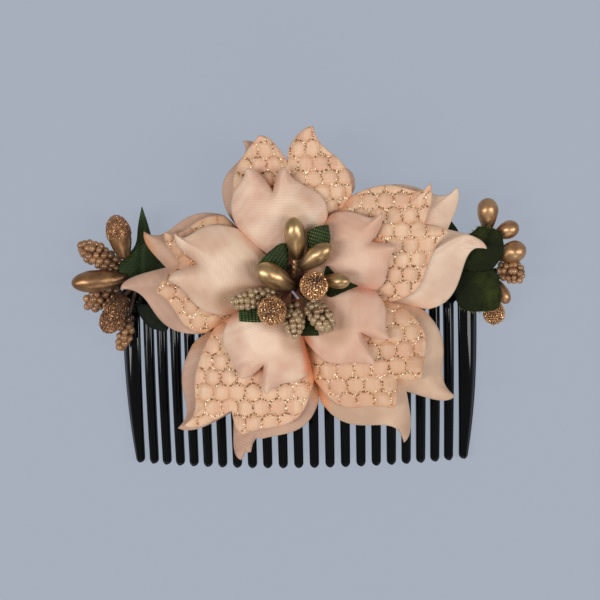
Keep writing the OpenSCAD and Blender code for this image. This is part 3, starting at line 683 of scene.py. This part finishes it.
def make_petal(name, layer):
    lattice = layer == 1
    density, count = FINE if lattice or (name, layer) in RIDGES else PLAIN
    outline, seam, glow = petal_outline(name, layer, density)
    (_, side_plus), _, notch, _, (_, side_minus) = PETALS[name][layer]
    across = MIDDLE_SIDES * (side_plus + side_minus) + MIDDLE_ACROSS * notch[1]
    centre = np.array([MIDDLE_ALONG * notch[0], across])
    rings = 1 - (1 - np.arange(1, count + 1) / count) ** RING_CROWDING

    def height(flat, part, index):
        z = petal_height(name, layer, flat, part, seam[index] * (part > 0))
        if lattice:
            edge = to_lattice(*lattice_cells(name, petal_place(name, flat)).T)
            z = z + LINE_DEPTH * (ease(0, 0.3, edge) - 1) * (1 - ease(0.93, 1, part))
        return z

    vertices, faces, flat, part, index = shell(outline, centre, rings, PETAL_WALL, height,
                                               lambda flat: petal_place(name, flat))
    # Painted orange glow and shade along the seams at the rim and around the root, and a painted highlight on
    # the left back petal's lit edge
    glow_and_shade = glow[index] * ease(0.8, 1, part) * (part > 0)
    glow_and_shade = np.maximum(glow_and_shade, ROOT_GLOW * (1 - ease(*ROOT_REACH, to_place(flat, (0, 0)))))
    if (name, layer) == ("left", 0):
        glow_and_shade = np.maximum(glow_and_shade, LIT_EDGE_GLOW * bell(to_line(flat, LIT_EDGE), LIT_EDGE_REACH))
    # Painted brown shade beside the buds on the front petals
    bud_shade = np.zeros(len(flat))
    if layer == 2:
        for kind, neck, tip, width in [BUDS[bud] for bud in CENTRE_BUDS]:
            away = to_line(vertices[:, :2], [neck[:2], tip[:2]]) - width / 2
            strength, reach = GOLD_BUD_SHADE if kind == "gold" else OTHER_BUD_SHADE
            bud_shade = np.maximum(bud_shade, strength * (1 - ease(-0.5, reach, away)))
    else:
        # Painted orange shade under the notch of the petal that lies on this one
        x, y = PETALS[name][layer + 1][2]
        under = bell(to_place(flat, (x + 0.8, y)), NOTCH_REACH)
        glow_and_shade = np.maximum(glow_and_shade, NOTCH_GLOW[layer] * under)
    zero = np.zeros(len(flat))
    attributes = {"flat": np.column_stack([flat, zero]), "glow_and_shade": glow_and_shade, "bud_shade": bud_shade}
    if lattice:
        attributes["cell"] = np.column_stack([lattice_cells(name, vertices[:, :2]), zero])
        attributes["open"] = 1 - ease(0.95, 1, part)
    node = f"petal_{name}_{LAYERS[layer]}"
    obj = make_piece(f"{node}_cloth", vertices, faces, ("satin_back", "satin_lattice", "satin_front")[layer],
                     PETAL_CLOTH[name][layer], node=node, **attributes)
    declare_sheet(outline)
    return outline, centre, BVHTree.FromPolygons(vertices.tolist(), faces)


# Granules and seeds

def icosphere(levels):
    """An icosahedron, each of whose faces is split in four that many times."""
    g = (1 + 5 ** 0.5) / 2
    signs = [(a, b) for a in (-1, 1) for b in (-1, 1)]
    points = [Vector(np.roll((0, a, b * g), k)).normalized() for k in range(3) for a, b in signs]
    faces = []
    for a, b, c in combinations(range(12), 3):
        p, q, r = points[a], points[b], points[c]
        if min(p.dot(q), q.dot(r), r.dot(p)) > 0:
            faces.append((a, b, c) if p.cross(q).dot(r) > 0 else (a, c, b))
    for _ in range(levels):
        middle, split = {}, []

        def half(a, b):
            key = (min(a, b), max(a, b))
            if key not in middle:
                middle[key] = len(points)
                points.append(((points[a] + points[b]) / 2).normalized())
            return middle[key]

        for a, b, c in faces:
            ab, bc, ca = half(a, b), half(b, c), half(c, a)
            split += [(a, ab, ca), (b, bc, ab), (c, ca, bc), (ab, bc, ca)]
        faces = split
    return np.array([tuple(p) for p in points]), np.array(faces)


GRAIN = icosphere(0)
BALL = icosphere(2)


def scatter(places, axes, sizes, ball, dice):
    """One mesh of many balls. axes gives each ball's long axis and sizes its three half widths."""
    points, faces = ball
    all_points = []
    for place, axis, size in zip(places, axes, sizes):
        tilt = Vector((0, 0, 1)).rotation_difference(Vector(axis)).to_matrix()
        spin = Matrix.Rotation(dice.uniform(0, 6.283), 3, "Z")
        all_points.append(place + (points * size) @ np.array(tilt @ spin).T)
    all_faces = np.vstack([faces + i * len(points) for i in range(len(all_points))])
    return np.vstack(all_points), all_faces.tolist()


def lattice_lines(name):
    """Pieces of the lattice's lines over a middle petal, each a list of places."""
    start, pitch, row_height, slope = LATTICE[name]
    for row in LATTICE_ROWS:
        side, shift = (1, 0) if row % 2 == 0 else (-1, 0.5)
        for column in LATTICE_COLUMNS:
            u = column + shift + np.linspace(-0.5, 0.5, 12)
            upright = np.linspace(row - 0.5 + CELL_BULGE, row + 0.5 - CELL_BULGE, 9)
            for cells in ((u, row + 0.5 + CELL_BULGE * side * np.cos(2 * np.pi * u)),
                          (np.full(9, column + shift + 0.5), upright)):
                yield start + turned(np.column_stack(cells) * (pitch, row_height), slope)


def glitter_lattice(name, middle_petal, front, dice):
    """Dark and bright granules along the lines, where the front petal leaves them free."""
    outline, centre, tree = middle_petal
    places = []
    for line in lattice_lines(name):
        if dice.random() < LINE_GAPS:
            continue
        run = run_along(line)
        n = max(2, round(run[-1] / GRAIN_STEP))
        for k in range(n):
            t = (k + dice.uniform(0.1, 0.9)) / n
            x, y = [np.interp(t * run[-1], run, line[:, axis]) for axis in (0, 1)]
            at_corner = min(t, 1 - t) < CORNER_SHARE
            places.append((x + dice.gauss(0, GRAIN_SPREAD), y + dice.gauss(0, GRAIN_SPREAD), at_corner))
    places = np.array(places, float)
    p = turned(places[:, :2] - FLOWER_MIDDLE, -FLOWER[name][0])
    hidden = inside(front.mean(0) + COVERED_SHARE * (front - front.mean(0)), p)
    places = places[inside(centre + OPEN_SHARE * (outline - centre), p) & ~hidden]
    down = Vector((0, 0, -1))
    where = np.array([tree.ray_cast(Vector((x, y, ABOVE_ALL)), down)[0] for x, y, _ in places])
    bright, dark = [], []
    for i, (x, y, corner) in enumerate(places):
        patch = ease(-0.2, 1, sin(0.23 * x + 0.31 * y + 2.2))
        share = BRIGHT_SHARE + BRIGHT_AT_CORNERS * corner + BRIGHT_IN_PATCHES * patch
        (bright if dice.random() < share else dark).append(i)
    for chosen, label, material, grain in ((dark, "dark", LINE_DARK, DARK_GRAIN),
                                           (bright, "bright", LINE_BRIGHT, BRIGHT_GRAIN)):
        sizes, axes = [], []
        for _ in chosen:
            r = dice.uniform(*grain)
            sizes.append((r, r * dice.uniform(0.8, 1.2), r * 0.8))
            axes.append((dice.gauss(0, GRAIN_TILT), dice.gauss(0, GRAIN_TILT), 1))
        make_piece(f"petal_{name}_lattice_{label}", *scatter(where[chosen], axes, sizes, GRAIN, dice),
                   "satin_lattice", material, smooth=False)


# Buds

def bud_radius(kind, t):
    widest, neck = BUD_SHAPE[kind]
    rising = neck + (1 - neck) * np.sin(np.pi / 2 * np.clip(t / widest, 0, 1))
    falling = np.sqrt(np.maximum(0, 1 - ((t - widest) / (1 - widest)) ** 2))
    return np.where(t < widest, rising, falling)


def bud_frame(neck, tip):
    """Axis from neck to tip, two directions across it, and the length."""
    axis = np.array(tip, float) - np.array(neck, float)
    length = np.linalg.norm(axis)
    axis /= length
    side = np.cross(axis, [0, 0, 1.0])
    side /= np.linalg.norm(side)
    return axis, side, np.cross(side, axis), length


def lathe(neck, tip, radii, lengths, sides, wobble=lambda angle, at: 0):
    """Round body along neck to tip. radii and lengths are in millimetres along it."""
    axis, side, other, _ = bud_frame(neck, tip)
    vertices = [neck + axis * lengths[0]]
    for radius, at in zip(radii[1:-1], lengths[1:-1]):
        for angle in np.linspace(0, 2 * np.pi, sides, endpoint=False):
            across = side * cos(angle) + other * sin(angle)
            vertices.append(neck + axis * at + radius * (1 + wobble(angle, at)) * across)
    return vertices + [neck + axis * lengths[-1]], capped(len(radii) - 2, sides)


def bud_profile(kind, width, length, count, shrink=0.0):
    t = np.sin(np.linspace(0, np.pi / 2, count))
    radii = np.maximum(bud_radius(kind, t) * width / 2 - shrink, 0.02)
    return np.r_[0, radii[:-1], 0], np.r_[0, t[:-1] * length, length - shrink]


def surface_points(bud, spacing, inset, start, dice):
    """Places spread evenly over a bud, with the outward direction at each."""
    kind, neck, tip, width = bud
    axis, side, other, length = bud_frame(neck, tip)
    places, normals = [], []
    samples = np.linspace(start, 1, 400)
    radii = bud_radius(kind, samples) * width / 2
    run = run_along(np.column_stack([radii, samples * length]))
    for distance in np.arange(spacing * 0.5, run[-1], spacing * ROW_STEP):
        at = np.interp(distance, run, samples)
        radius = np.interp(distance, run, radii)
        before, after = [np.interp(distance + step, run, radii) for step in (-SLOPE_STEP, SLOPE_STEP)]
        slope = (after - before) / (2 * SLOPE_STEP)
        rise = sqrt(max(0.0, 1 - min(1, slope * slope)))
        count = max(1, round(2 * pi * max(radius - inset, 0.05) / spacing))
        first = dice.uniform(0, 6.283)
        for k in range(count):
            angle = first + 2 * pi * k / count + dice.gauss(0, JITTER) * spacing / max(radius, 0.5)
            around = side * cos(angle) + other * sin(angle)
            normal = around * rise - axis * slope
            normal /= np.linalg.norm(normal)
            place = neck + axis * (at * length + dice.gauss(0, JITTER) * spacing) + around * radius
            places.append(place - normal * inset)
            normals.append(normal)
    return np.array(places), normals


def lying(normals, dice):
    """Directions along the surface, each turned at random and tilted a little."""
    result = []
    for normal in normals:
        along = np.cross(normal, [dice.gauss(0, 1), dice.gauss(0, 1), dice.gauss(0, 1)])
        result.append(along / np.linalg.norm(along) + normal * dice.gauss(0, LIE_TILT))
    return result


def cover(node, bud, label, slot, spacing, size, ball, core, material, long=1.0):
    """A core with granules or seeds of that half width all over it. Long ones lie along the surface."""
    name = f"{node}_{label}"
    kind, neck, tip, width = bud
    axis, _, _, length = bud_frame(neck, tip)
    dice = random.Random(sum(map(ord, name)))
    body = lathe(neck, tip, *bud_profile(kind, width, length, 20, size * CORE_INSET), 28)
    places, normals = surface_points(bud, spacing, size * BALL_INSET, 0.0, dice)
    run = (places - neck) @ axis / length
    # Painted shade on the seeds or granules towards the neck, stronger on the left spray
    deep = (0.75 if name.startswith("left") else 0.3) * (1 - ease(0.1, 0.6, run))
    sizes = []
    for _ in places:
        r = size * dice.uniform(*SEED_SIZES)
        sizes.append((r * dice.uniform(0.85, 1.0), r, r * long * dice.uniform(0.9, 1.05)))
    balls = scatter(places, lying(normals, dice) if long > 1 else normals, sizes, ball, dice)
    shade = np.r_[np.zeros(len(body[0])), np.repeat(deep, len(ball[0]))]
    obj = make_piece(name, *joined([body, balls]), slot, core, material, node=node, shade=shade)
    on_ball = [0] * len(body[1]) + [1] * len(balls[1])
    obj.data.polygons.foreach_set("material_index", on_ball)
    if long > 1:
        obj.data.polygons.foreach_set("use_smooth", [not value for value in on_ball])


def make_drop(node, bud, sides=40):
    """A painted drop with folds at its neck, and granules on its far half if it is capped."""
    kind, neck, tip, width = bud
    length = bud_frame(neck, tip)[3]
    seed = sum(map(ord, node))

    def wobble(angle, at):
        folds = NECK_FOLDS * max(0, 1 - at / (NECK_REACH * length)) * sin(5 * angle + seed)
        return folds + UNEVENNESS * sin(3 * angle + 1.7 * at + seed)

    radii, lengths = bud_profile(kind, width, length, 30)
    vertices, faces = lathe(neck, tip, radii, lengths, sides, wobble)
    run = np.r_[lengths[0], np.repeat(lengths[1:-1], sides), lengths[-1]] / length
    # Painted shade towards the neck, stronger on the gold drops
    shade = (0.85 if kind == "gold" else 0.3) * (1 - ease(0, 0.42, run))
    paint = {"left": BROWN_GOLD, "right": ROSE_GOLD}.get(node.split("_")[0], GOLD)
    slot = "gold_paint" if kind == "gold" else "glitter"
    make_piece(f"{node}_drop", vertices, faces, slot, paint, node=node, shade=shade)
    if kind == "capped":
        dice = random.Random(6)
        places, normals = surface_points((kind, neck, tip, width + 0.2), 0.55, 0.1, 0.5, dice)
        sizes = [np.array([0.2, 0.2, 0.42]) * dice.uniform(0.8, 1.2) for _ in places]
        make_piece(f"{node}_granules", *scatter(places, lying(normals, dice), sizes, GRAIN, dice), "glitter",
                   BROWN_GRAINS, smooth=False)


def make_bud(node, bud):
    family = node.split("_")[0]
    if bud[0] in ("gold", "capped"):
        make_drop(node, bud)
    elif bud[0].startswith("glitter"):
        grains = BROWN_GRAINS if family == "left" else BRONZE_GRAINS
        cover(node, bud, "granules", "glitter", *GRANULES, GRAIN, BRONZE_CORE, grains, GRANULE_LENGTH)
    else:
        cloths = (SEED_CORE, KHAKI_SEEDS) if family == "beaded" else (AMBER_CORE, AMBER_SEEDS)
        cover(node, bud, "seeds", "seed_beads", *SEEDS[family], BALL, *cloths)


# Stems

def wound_tube(start, end, radius, sides=10, step=0.22, pitch=0.75, relief=0.14):
    """Wire wound with thread: a tube with a screw-shaped ridge."""
    length = bud_frame(start, end)[3]
    rings = max(3, int(length / step)) + 1
    lengths = [0, *np.linspace(0, length, rings), length]
    return lathe(start, end, [0] + [radius] * rings + [0], lengths, sides,
                 lambda angle, at: relief * sin(2 * pi * at / pitch - 2 * angle))


def make_stems(node, start, hub, buds):
    hub = np.array(hub, float)
    tubes = [wound_tube(np.array(start) + [0, 0, 0.001], hub + [0.001, 0, 0.3], 1.1, 16)]
    for _, neck, tip, _ in [BUDS[bud] for bud in buds]:
        tubes.append(wound_tube(hub, neck - bud_frame(neck, tip)[0] * 0.1, 0.5))
    wire = DARK_WIRE if node == "right_stems" else WIRE
    make_piece(f"{node}_wound", *joined(tubes), "stem_wire", wire, node=node)


# Leaves: foot, rise, fold, cloth, the side with loose threads, line of the midrib, sharp points and outline

CENTRE_FOOT = (0.5, 7.4, 11.5)
LEAVES = {
    "centre_leaf_left": (CENTRE_FOOT, 0.2, 0.6, RIBBON, None, (-1, 10, -8, 15), (), [
        (-9.6, 11.1), (-6.9, 14.6), (-2.8, 17.8), (-0.8, 17.5), (-0.8, 13), (-1.2, 10.4), (-4, 9)]),
    "centre_ribbon_right": (CENTRE_FOOT, 0.2, 0.4, RIBBON, (0.2, 1), (5, 13, 8, 22), (0, 2), [
        (4.5, 20.7), (7, 22), (9.7, 22.3), (10.4, 18), (7, 12.8), (4.2, 13.4)]),
    "centre_ribbon_left": (CENTRE_FOOT, 0.2, 0.3, RIBBON, (-1, 0), (-5, 0, -13, -0.5), (0, 1), [
        (-13.4, -1.9), (-13.5, 0.9), (-8.7, 1.8), (-5, 1.6), (-5, -2), (-8.8, -2.3)]),
    "centre_leaf_lower": (CENTRE_FOOT, 0.2, 0.3, LEAF_WOVEN, None, (4, 0, 4.4, -6), (0, 4), [
        (2.2, -5.9), (3.2, -2), (4.3, 0.6), (5.6, -2), (6.8, -5.9)]),
    "centre_leaf_right": (CENTRE_FOOT, 0.18, 0.4, LEAF_WOVEN, None, (8, 7, 17, 6.5), (3,), [
        (8.9, 12.4), (10.8, 10), (13.4, 8.2), (17, 6.6), (13.2, 5.1), (9.4, 3.4), (8, 6.5)]),
    "left_leaf_upper": ((-43, 7, -9.5), 0.05, 1, LEAF_SATIN, None, (-42, 9, -41.5, 27.8), (6,), [
        (-46.3, 8), (-47.8, 9.8), (-47.7, 12.2), (-45.8, 14.3), (-43.2, 17.6), (-42.7, 22.8), (-41.5, 27.8),
        (-40.2, 23.5), (-39.2, 19.5), (-37.6, 15.6), (-34.6, 13.2), (-33.6, 10), (-36.5, 7.6), (-43, 7.2)]),
    "left_leaf_lower": ((-34, -1, -4.4), -0.25, 0.8, LEAF_DARK, None, (-43, 1, -35, -6), (), [
        (-43.3, 1.5), (-38.5, 1.4), (-35.5, 0.8), (-34.4, -4), (-35.2, -6), (-37.4, -5.7), (-39.6, -4.9),
        (-41.4, -3.4), (-42.8, -1)]),
    "right_leaf_upper": ((46, 7.5, -4.5), 0.1, 1, LEAF_WOVEN, (-0.25, 1), (48, 10, 52, 21.4), (5,), [
        (44, 9.5), (43.4, 13), (44.6, 17), (46.4, 18.6), (47.8, 19.6), (48.9, 20.7), (51, 20.6), (53.3, 20),
        (55, 18.4), (55.5, 15.4), (55.1, 13), (53.6, 10.8), (52.2, 9.2), (49.8, 8.6)]),
    "right_leaf_lower": ((46, 7.5, -5.7), 0, 1, LEAF_WOVEN, (-0.1, -1), (48, 9, 51, -3), (12,), [
        (46.8, 10.2), (50, 10.4), (52.4, 10), (54, 8), (54.5, 5.4), (54.7, 2.4), (54.5, -0.4), (53.4, -1.6),
        (50.6, -1.9), (46.7, -2), (43.7, -0.8), (42.2, 3), (41.8, 7), (42.6, 10)]),
    "right_leaf_back": ((46, 7.5, -7.5), 0.1, 0.4, LEAF_WOVEN, None, (42, 14, 41.6, 22.5), (2,), [
        (40.5, 14), (40, 18), (41.6, 22.5), (43.8, 19.6), (44.4, 15)]),
}
LEAF_WALL = 0.7
VEIN_DEPTH, MIDRIB_DEPTH, MIDRIB_REACH = 0.05, 0.45, 0.5
THREAD_STEP, THREAD_HALF_WIDTH, THREAD_LENGTH = 0.3, 0.08, (0.5, 1.3)
CORNER_CUT, FACING_ENOUGH = 0.2, 0.75
# The left leaf's lobe stands up over the stems here
LOBE, LOBE_HEIGHT, LOBE_REACH = (-46.6, 10), 5, 4.2


def rounded(outline, sharp, passes=3):
    """Cuts the corners of an outline, but for the sharp ones."""
    points = [(np.array(p, float), i in sharp) for i, p in enumerate(outline)]
    for _ in range(passes):
        result = []
        for (a, keep_a), (b, _) in zip(points, points[1:] + points[:1]):
            result.append((a, True) if keep_a else (a * (1 - CORNER_CUT) + b * CORNER_CUT, False))
            result.append((a * CORNER_CUT + b * (1 - CORNER_CUT), False))
        points = result
    return np.array([p for p, _ in points])


def fray(name, outline, heights, facing, material, dice):
    """Loose threads along the part of an outline that looks that way."""
    facing = np.array(facing) / np.hypot(*facing)
    tangent, outward = along_edge(outline)
    outward *= np.sign(np.sum(outward * (outline - outline.mean(0)), 1))[:, None]
    vertices, faces = [], []
    for k in range(len(outline)):
        following = (k + 1) % len(outline)
        if min(outward[k] @ facing, outward[following] @ facing) < FACING_ENOUGH:
            continue
        length = np.hypot(*(outline[following] - outline[k]))
        for _ in range(max(1, round(length / THREAD_STEP))):
            t = dice.random()
            foot = outline[k] * (1 - t) + outline[following] * t - outward[k] * 0.2
            aim = outward[k] + tangent[k] * dice.gauss(0, 0.3)
            end = foot + aim * dice.uniform(*THREAD_LENGTH)
            z = heights[k] - 0.3
            across = np.array([-aim[1], aim[0]]) * THREAD_HALF_WIDTH
            first = len(vertices)
            vertices += [(*(foot + across), z), (*(foot - across), z), (*foot, z + 0.15)]
            vertices.append((*end, z + dice.uniform(-0.1, 0.4)))
            faces += [tuple(first + i for i in face) for face in ((0, 1, 2), (0, 3, 1), (1, 3, 2), (2, 3, 0))]
    make_piece(f"{name}_threads", vertices, faces, "green_ribbon", material, smooth=False,
               frayed=np.full(len(vertices), 0.7))


def leaf_light(node, x, y):
    """How far each place of a leaf is in the light, which sets its painted shade; the left upper leaf is
    darker where it reaches in under the petals.
    """
    if node == "right_leaf_lower":
        return 0.12 + 0.43 * ease(44, 49, x) + 0.6 * ease(49, 53, x) * ease(6, 1, y)
    if node == "right_leaf_upper":
        return 0.12 + 0.2 * ease(44, 48, x) + 0.7 * ease(15.5, 19, y)
    if node == "left_leaf_upper":
        return 0.35 + 0.8 * ease(13, 17, y) - 0.4 * ease(-39.8, -37.5, x)
    dim = node in ("left_leaf_lower", "right_leaf_back", "centre_leaf_lower", "centre_leaf_right")
    return np.full(len(x), 0.5 if dim else 1.0)


def make_leaf(node, foot, rise, fold, cloth, frayed, rib, sharp, points):
    outline = rounded(points, sharp)
    middle = (np.min(points, 0) + np.max(points, 0)) / 2
    slope = degrees(atan2(rib[3] - rib[1], rib[2] - rib[0]))

    def height(flat, part, _):
        along, off = turned(flat - rib[:2], -slope).T
        veins = VEIN_DEPTH * np.sin(2.4 * (along - 0.8 * np.abs(off)))
        midrib = MIDRIB_DEPTH * fold * bell(off, MIDRIB_REACH) * (part < 0.97)
        lobe = LOBE_HEIGHT * bell(to_place(flat, LOBE), LOBE_REACH)
        return foot[2] + rise * to_place(flat, foot) + fold * (1 - part ** 2) - midrib + veins + lobe

    rings = np.linspace(0, 1, 19)[1:]
    vertices, faces, flat, _, _ = shell(outline, middle, rings, LEAF_WALL, height, lambda flat: flat)
    ribs = np.column_stack([turned(flat - rib[:2], -slope), np.zeros(len(flat))])
    slot = "green_satin" if cloth is LEAF_SATIN else "green_ribbon"
    obj = make_piece(f"{node}_cloth", vertices, faces, slot, cloth, node=node, flat=ribs,
                     lit=leaf_light(node, *flat.T))
    declare_sheet(outline)
    if frayed:
        fray(node, outline, height(outline, np.ones(len(outline)), None), frayed, cloth, random.Random(7))


# Comb: a rounded spine and teeth with round backs, all along the arch

def on_arch(across, y, depth):
    """Place of a point across the arch (along it), at y, and that depth below its outer face."""
    angle = across / ARCH_RADIUS
    radius = ARCH_RADIUS - depth
    return radius * sin(angle), y, radius * cos(angle) - ARCH_RADIUS


def crowned(left, right, top, bottom, corner):
    """Rounded cross-section with a crowned top: points across and deep, turning once round."""
    crown = min(CROWN * ((right - left) / ROOT_WIDTH) ** 1.6, (bottom - top) / 2)
    top += crown
    corner = min(corner, (right - left) / 2 - 0.01, (bottom - top) / 2 - 0.01)
    inner_left, inner_right, upper, lower = left + corner, right - corner, top + corner, bottom - corner
    points = []
    for middle, first in (((inner_right, upper), -90), ((inner_right, lower), 0), ((inner_left, lower), 90),
                          ((inner_left, upper), 180)):
        points += arc(middle, corner, first, first + 90, 5)
    for k in range(1, CROWN_STEPS):
        t = 2 * k / CROWN_STEPS - 1
        points.append(((left + right) / 2 + t * (inner_right - inner_left) / 2, top - crown * (1 - t * t)))
    return points


def loft(rows):
    """Closed skin through rows of places."""
    n = len(rows[0])
    vertices = [place for row in rows for place in row]
    ends = [tuple(range(n))[::-1], tuple(range(len(vertices) - n, len(vertices)))]
    return vertices, quads(0, len(rows) - 1, n) + ends


def tooth_section(y, side):
    """Cross-section of a tooth at y. side is -1 or 1 for the end teeth, which bow out, and 0 for others."""
    part = min(1, max(0, y / TIP_START))
    half = (ROOT_WIDTH + (TIP_WIDTH - ROOT_WIDTH) * part) / 2
    if y >= SLOT_RADIUS:
        half = TOOTH_PITCH / 2 + TOOTH_OVERLAP
    elif y >= 0:
        half = TOOTH_PITCH / 2 - sqrt(SLOT_RADIUS ** 2 - y * y)
    outer = half
    if side:
        outer = END_ROOT_HALF
        if y < 0:
            outer = END_TIP_HALF + (END_ROOT_HALF - END_TIP_HALF) * (1 - part ** END_CURVE)
        lift = y - (SPINE_HEIGHT - SPINE_CORNER)
        if lift > 0:
            outer += sqrt(max(0.01, SPINE_CORNER ** 2 - lift ** 2)) - SPINE_CORNER
    droop = min(1, max(0, -y / (TOOTH_LENGTH - 2))) ** 2
    top = TIP_DROOP * droop
    bottom = THICKNESS + (TIP_DROOP + TIP_THICKNESS - THICKNESS) * droop
    if y < TIP_START:
        shrink = sqrt(max(0.0, 1 - ((TIP_START - y) / (TIP_WIDTH / 2)) ** 2))
        half, outer = half * shrink, outer * shrink
        middle, thick = (top + bottom) / 2, (bottom - top) / 2 * (0.35 + 0.65 * shrink)
        top, bottom = middle - thick, middle + thick
    left, right = (-outer, half) if side < 0 else (-half, outer)
    corner = TOOTH_CORNER
    if y >= 0:
        corner += (ROOT_CORNER - TOOTH_CORNER) * min(1, y / SLOT_RADIUS)
    return crowned(left, right, top, bottom, corner)


def make_tooth(i):
    last = TOOTH_COUNT // 2
    side = 0 if abs(i) < last else i // last
    centre = i * TOOTH_PITCH + END_SHIFT * side
    steps = [SPINE_HEIGHT - 1.2, 1.2]
    steps += [SLOT_RADIUS * sin(radians(a)) for a in (88, 70, 50, 30, 15)]
    steps += [-0.2 - (TOOTH_LENGTH - 1.6) * k / 26 for k in range(27)]
    steps += [TIP_START - TIP_WIDTH / 2 * sin(radians(a)) for a in (0, 20, 38, 54, 68, 80, 87)]
    rows = [[on_arch(centre + a, y, depth) for a, depth in tooth_section(y, side)] for y in steps]
    vertices, faces = loft(rows)
    return vertices, [face[::-1] for face in faces]


def make_spine(steps=120):
    """The spine's bar, with rounded upper edge and ends."""
    half = TOOTH_COUNT // 2 * TOOTH_PITCH + END_SHIFT + END_ROOT_HALF - SPINE_INSET
    low, high = SLOT_RADIUS + SPINE_LOW, SPINE_HEIGHT - SPINE_EDGE
    profile = [(low, 0), *arc((high, SPINE_EDGE), SPINE_EDGE, -90, 0, 7),
               *arc((high, THICKNESS - SPINE_EDGE), SPINE_EDGE, 0, 90, 7), (low, THICKNESS)]
    rows = []
    for k in range(steps + 1):
        across = half * (2 * k / steps - 1)
        over = min(1, max(0, abs(across) - (half - END_ROUNDING)) / END_ROUNDING)
        sink = END_ROUNDING * (1 - sqrt(1 - over ** 2))
        rows.append([on_arch(across, y if y < high - 0.01 else y - sink, depth) for y, depth in profile])
    return loft(rows)


def make_pad():
    """Felt disc under the flower, flat above and curved with the arch below."""
    rim = [(0.55, 0), (0.93, 0), (0.985, 0.15), (1, 0.4), (1, 0.85), (0.985, 1), (0.93, 1), (0.55, 1)]
    places = [(0, 0, 0)]
    for reach, down in rim:
        for k in range(PAD_SIDES):
            angle = 2 * pi * k / PAD_SIDES
            r = PAD_RADIUS * reach * (1 + 0.012 * sin(7 * angle) + 0.008 * sin(13 * angle + 1))
            places.append((r * cos(angle), r * sin(angle), down))
    vertices = []
    for x, y, down in places + [(0, 0, 1)]:
        x += PAD_MIDDLE[0]
        bottom = PAD_BOTTOM - x * x / (2 * ARCH_RADIUS)
        vertices.append((x, y + PAD_MIDDLE[1], PAD_TOP + (bottom - PAD_TOP) * down))
    faces = [face[::-1] for face in capped(len(rim), PAD_SIDES)]
    pad = make_piece("base_pad_felt", vertices, faces, "felt", brown_felt(), node="base_pad")


# Floor, light, air and camera

def make_floor():
    bpy.ops.mesh.primitive_plane_add(size=4, location=(0, 0, 0))
    floor = bpy.context.object
    floor.name = "floor"
    s = Surface("pale floor", Base_Color=(0.06, 0.066, 0.076), Roughness=0.9, Specular_IOR_Level=0.1,
                Emission_Color=(0.37, 0.415, 0.49), Emission_Strength=0.88)
    floor.data.materials.append(s.material)


def make_air():
    world = bpy.data.worlds.new("air")
    bpy.context.scene.world = world
    world.use_nodes = True
    background = world.node_tree.nodes["Background"]
    background.inputs["Color"].default_value = (1.03, 0.94, 0.87, 1)
    background.inputs["Strength"].default_value = 0.26


def make_light(name, place, size, power, colour):
    data = bpy.data.lights.new(name, "AREA")
    data.shape = "RECTANGLE"
    data.size, data.size_y = size
    data.energy = power
    data.color = colour
    turn = (-Vector(place)).to_track_quat("-Z", "Y").to_matrix().to_4x4()
    new_object(name, data).matrix_world = Matrix.Translation(place) @ turn


def make_camera():
    data = bpy.data.cameras.new("camera")
    data.sensor_width = SENSOR
    data.lens = FOCAL_PIXELS / FRAME_PIXELS * SENSOR
    data.clip_start, data.clip_end = 0.01, 20
    camera = new_object("camera", data)
    right = LOOK.cross(UP).normalized()
    turn = Matrix((right, right.cross(LOOK), -LOOK)).transposed().to_4x4()
    camera.matrix_world = Matrix.Translation(Vector(to_frame(EYE))) @ turn
    bpy.context.scene.camera = camera
    bpy.context.scene.view_settings.view_transform = "Standard"


petals = {(name, layer): make_petal(name, layer) for name in FLOWER for layer in range(3)}
lattice_dice = random.Random(11)
for name in FLOWER:
    glitter_lattice(name, petals[name, 1], petals[name, 2][0], lattice_dice)
for node, bud in BUDS.items():
    make_bud(node, bud)
for node, stems in STEMS.items():
    make_stems(node, *stems)
# The upper bud's braided neck, and a bare stem end that shows between the buds
make_piece("centre_stems_braid", *wound_tube((0.7, 9.2, 11.0), (1.4, 14.3, 13.8), 0.85, 14, 0.2, 1.5, 0.2),
           "stem_wire", BRAID)
make_piece("centre_stems_bare_end", *wound_tube((0.2, 5.7, 14.4), (1.8, 3.7, 15.4), 0.38, 14, 0.2, 3.0, 0.03),
           "stem_wire", BARE_END)
for node, leaf in LEAVES.items():
    make_leaf(node, *leaf)
teeth = [make_tooth(i) for i in range(-(TOOTH_COUNT // 2), TOOTH_COUNT // 2 + 1)]
comb = make_piece("comb_moulding", *joined(teeth + [make_spine()]), "comb_plastic", black_plastic(),
                  node="comb")
comb.modifiers.new("keep corners", "EDGE_SPLIT").split_angle = radians(50)
make_pad()
make_floor()
make_air()
make_light("left window", (-0.42, -0.045, 0.62), (0.14, 0.5), 2.53, (0.98, 0.975, 0.955))
make_light("right window", (0.45, -0.045, 0.58), (0.14, 0.5), 2.2, (0.98, 0.975, 0.96))
make_light("front fill", (0.05, -0.7, 0.5), (0.5, 0.3), 0.7, (1.0, 0.98, 0.96))
make_camera()
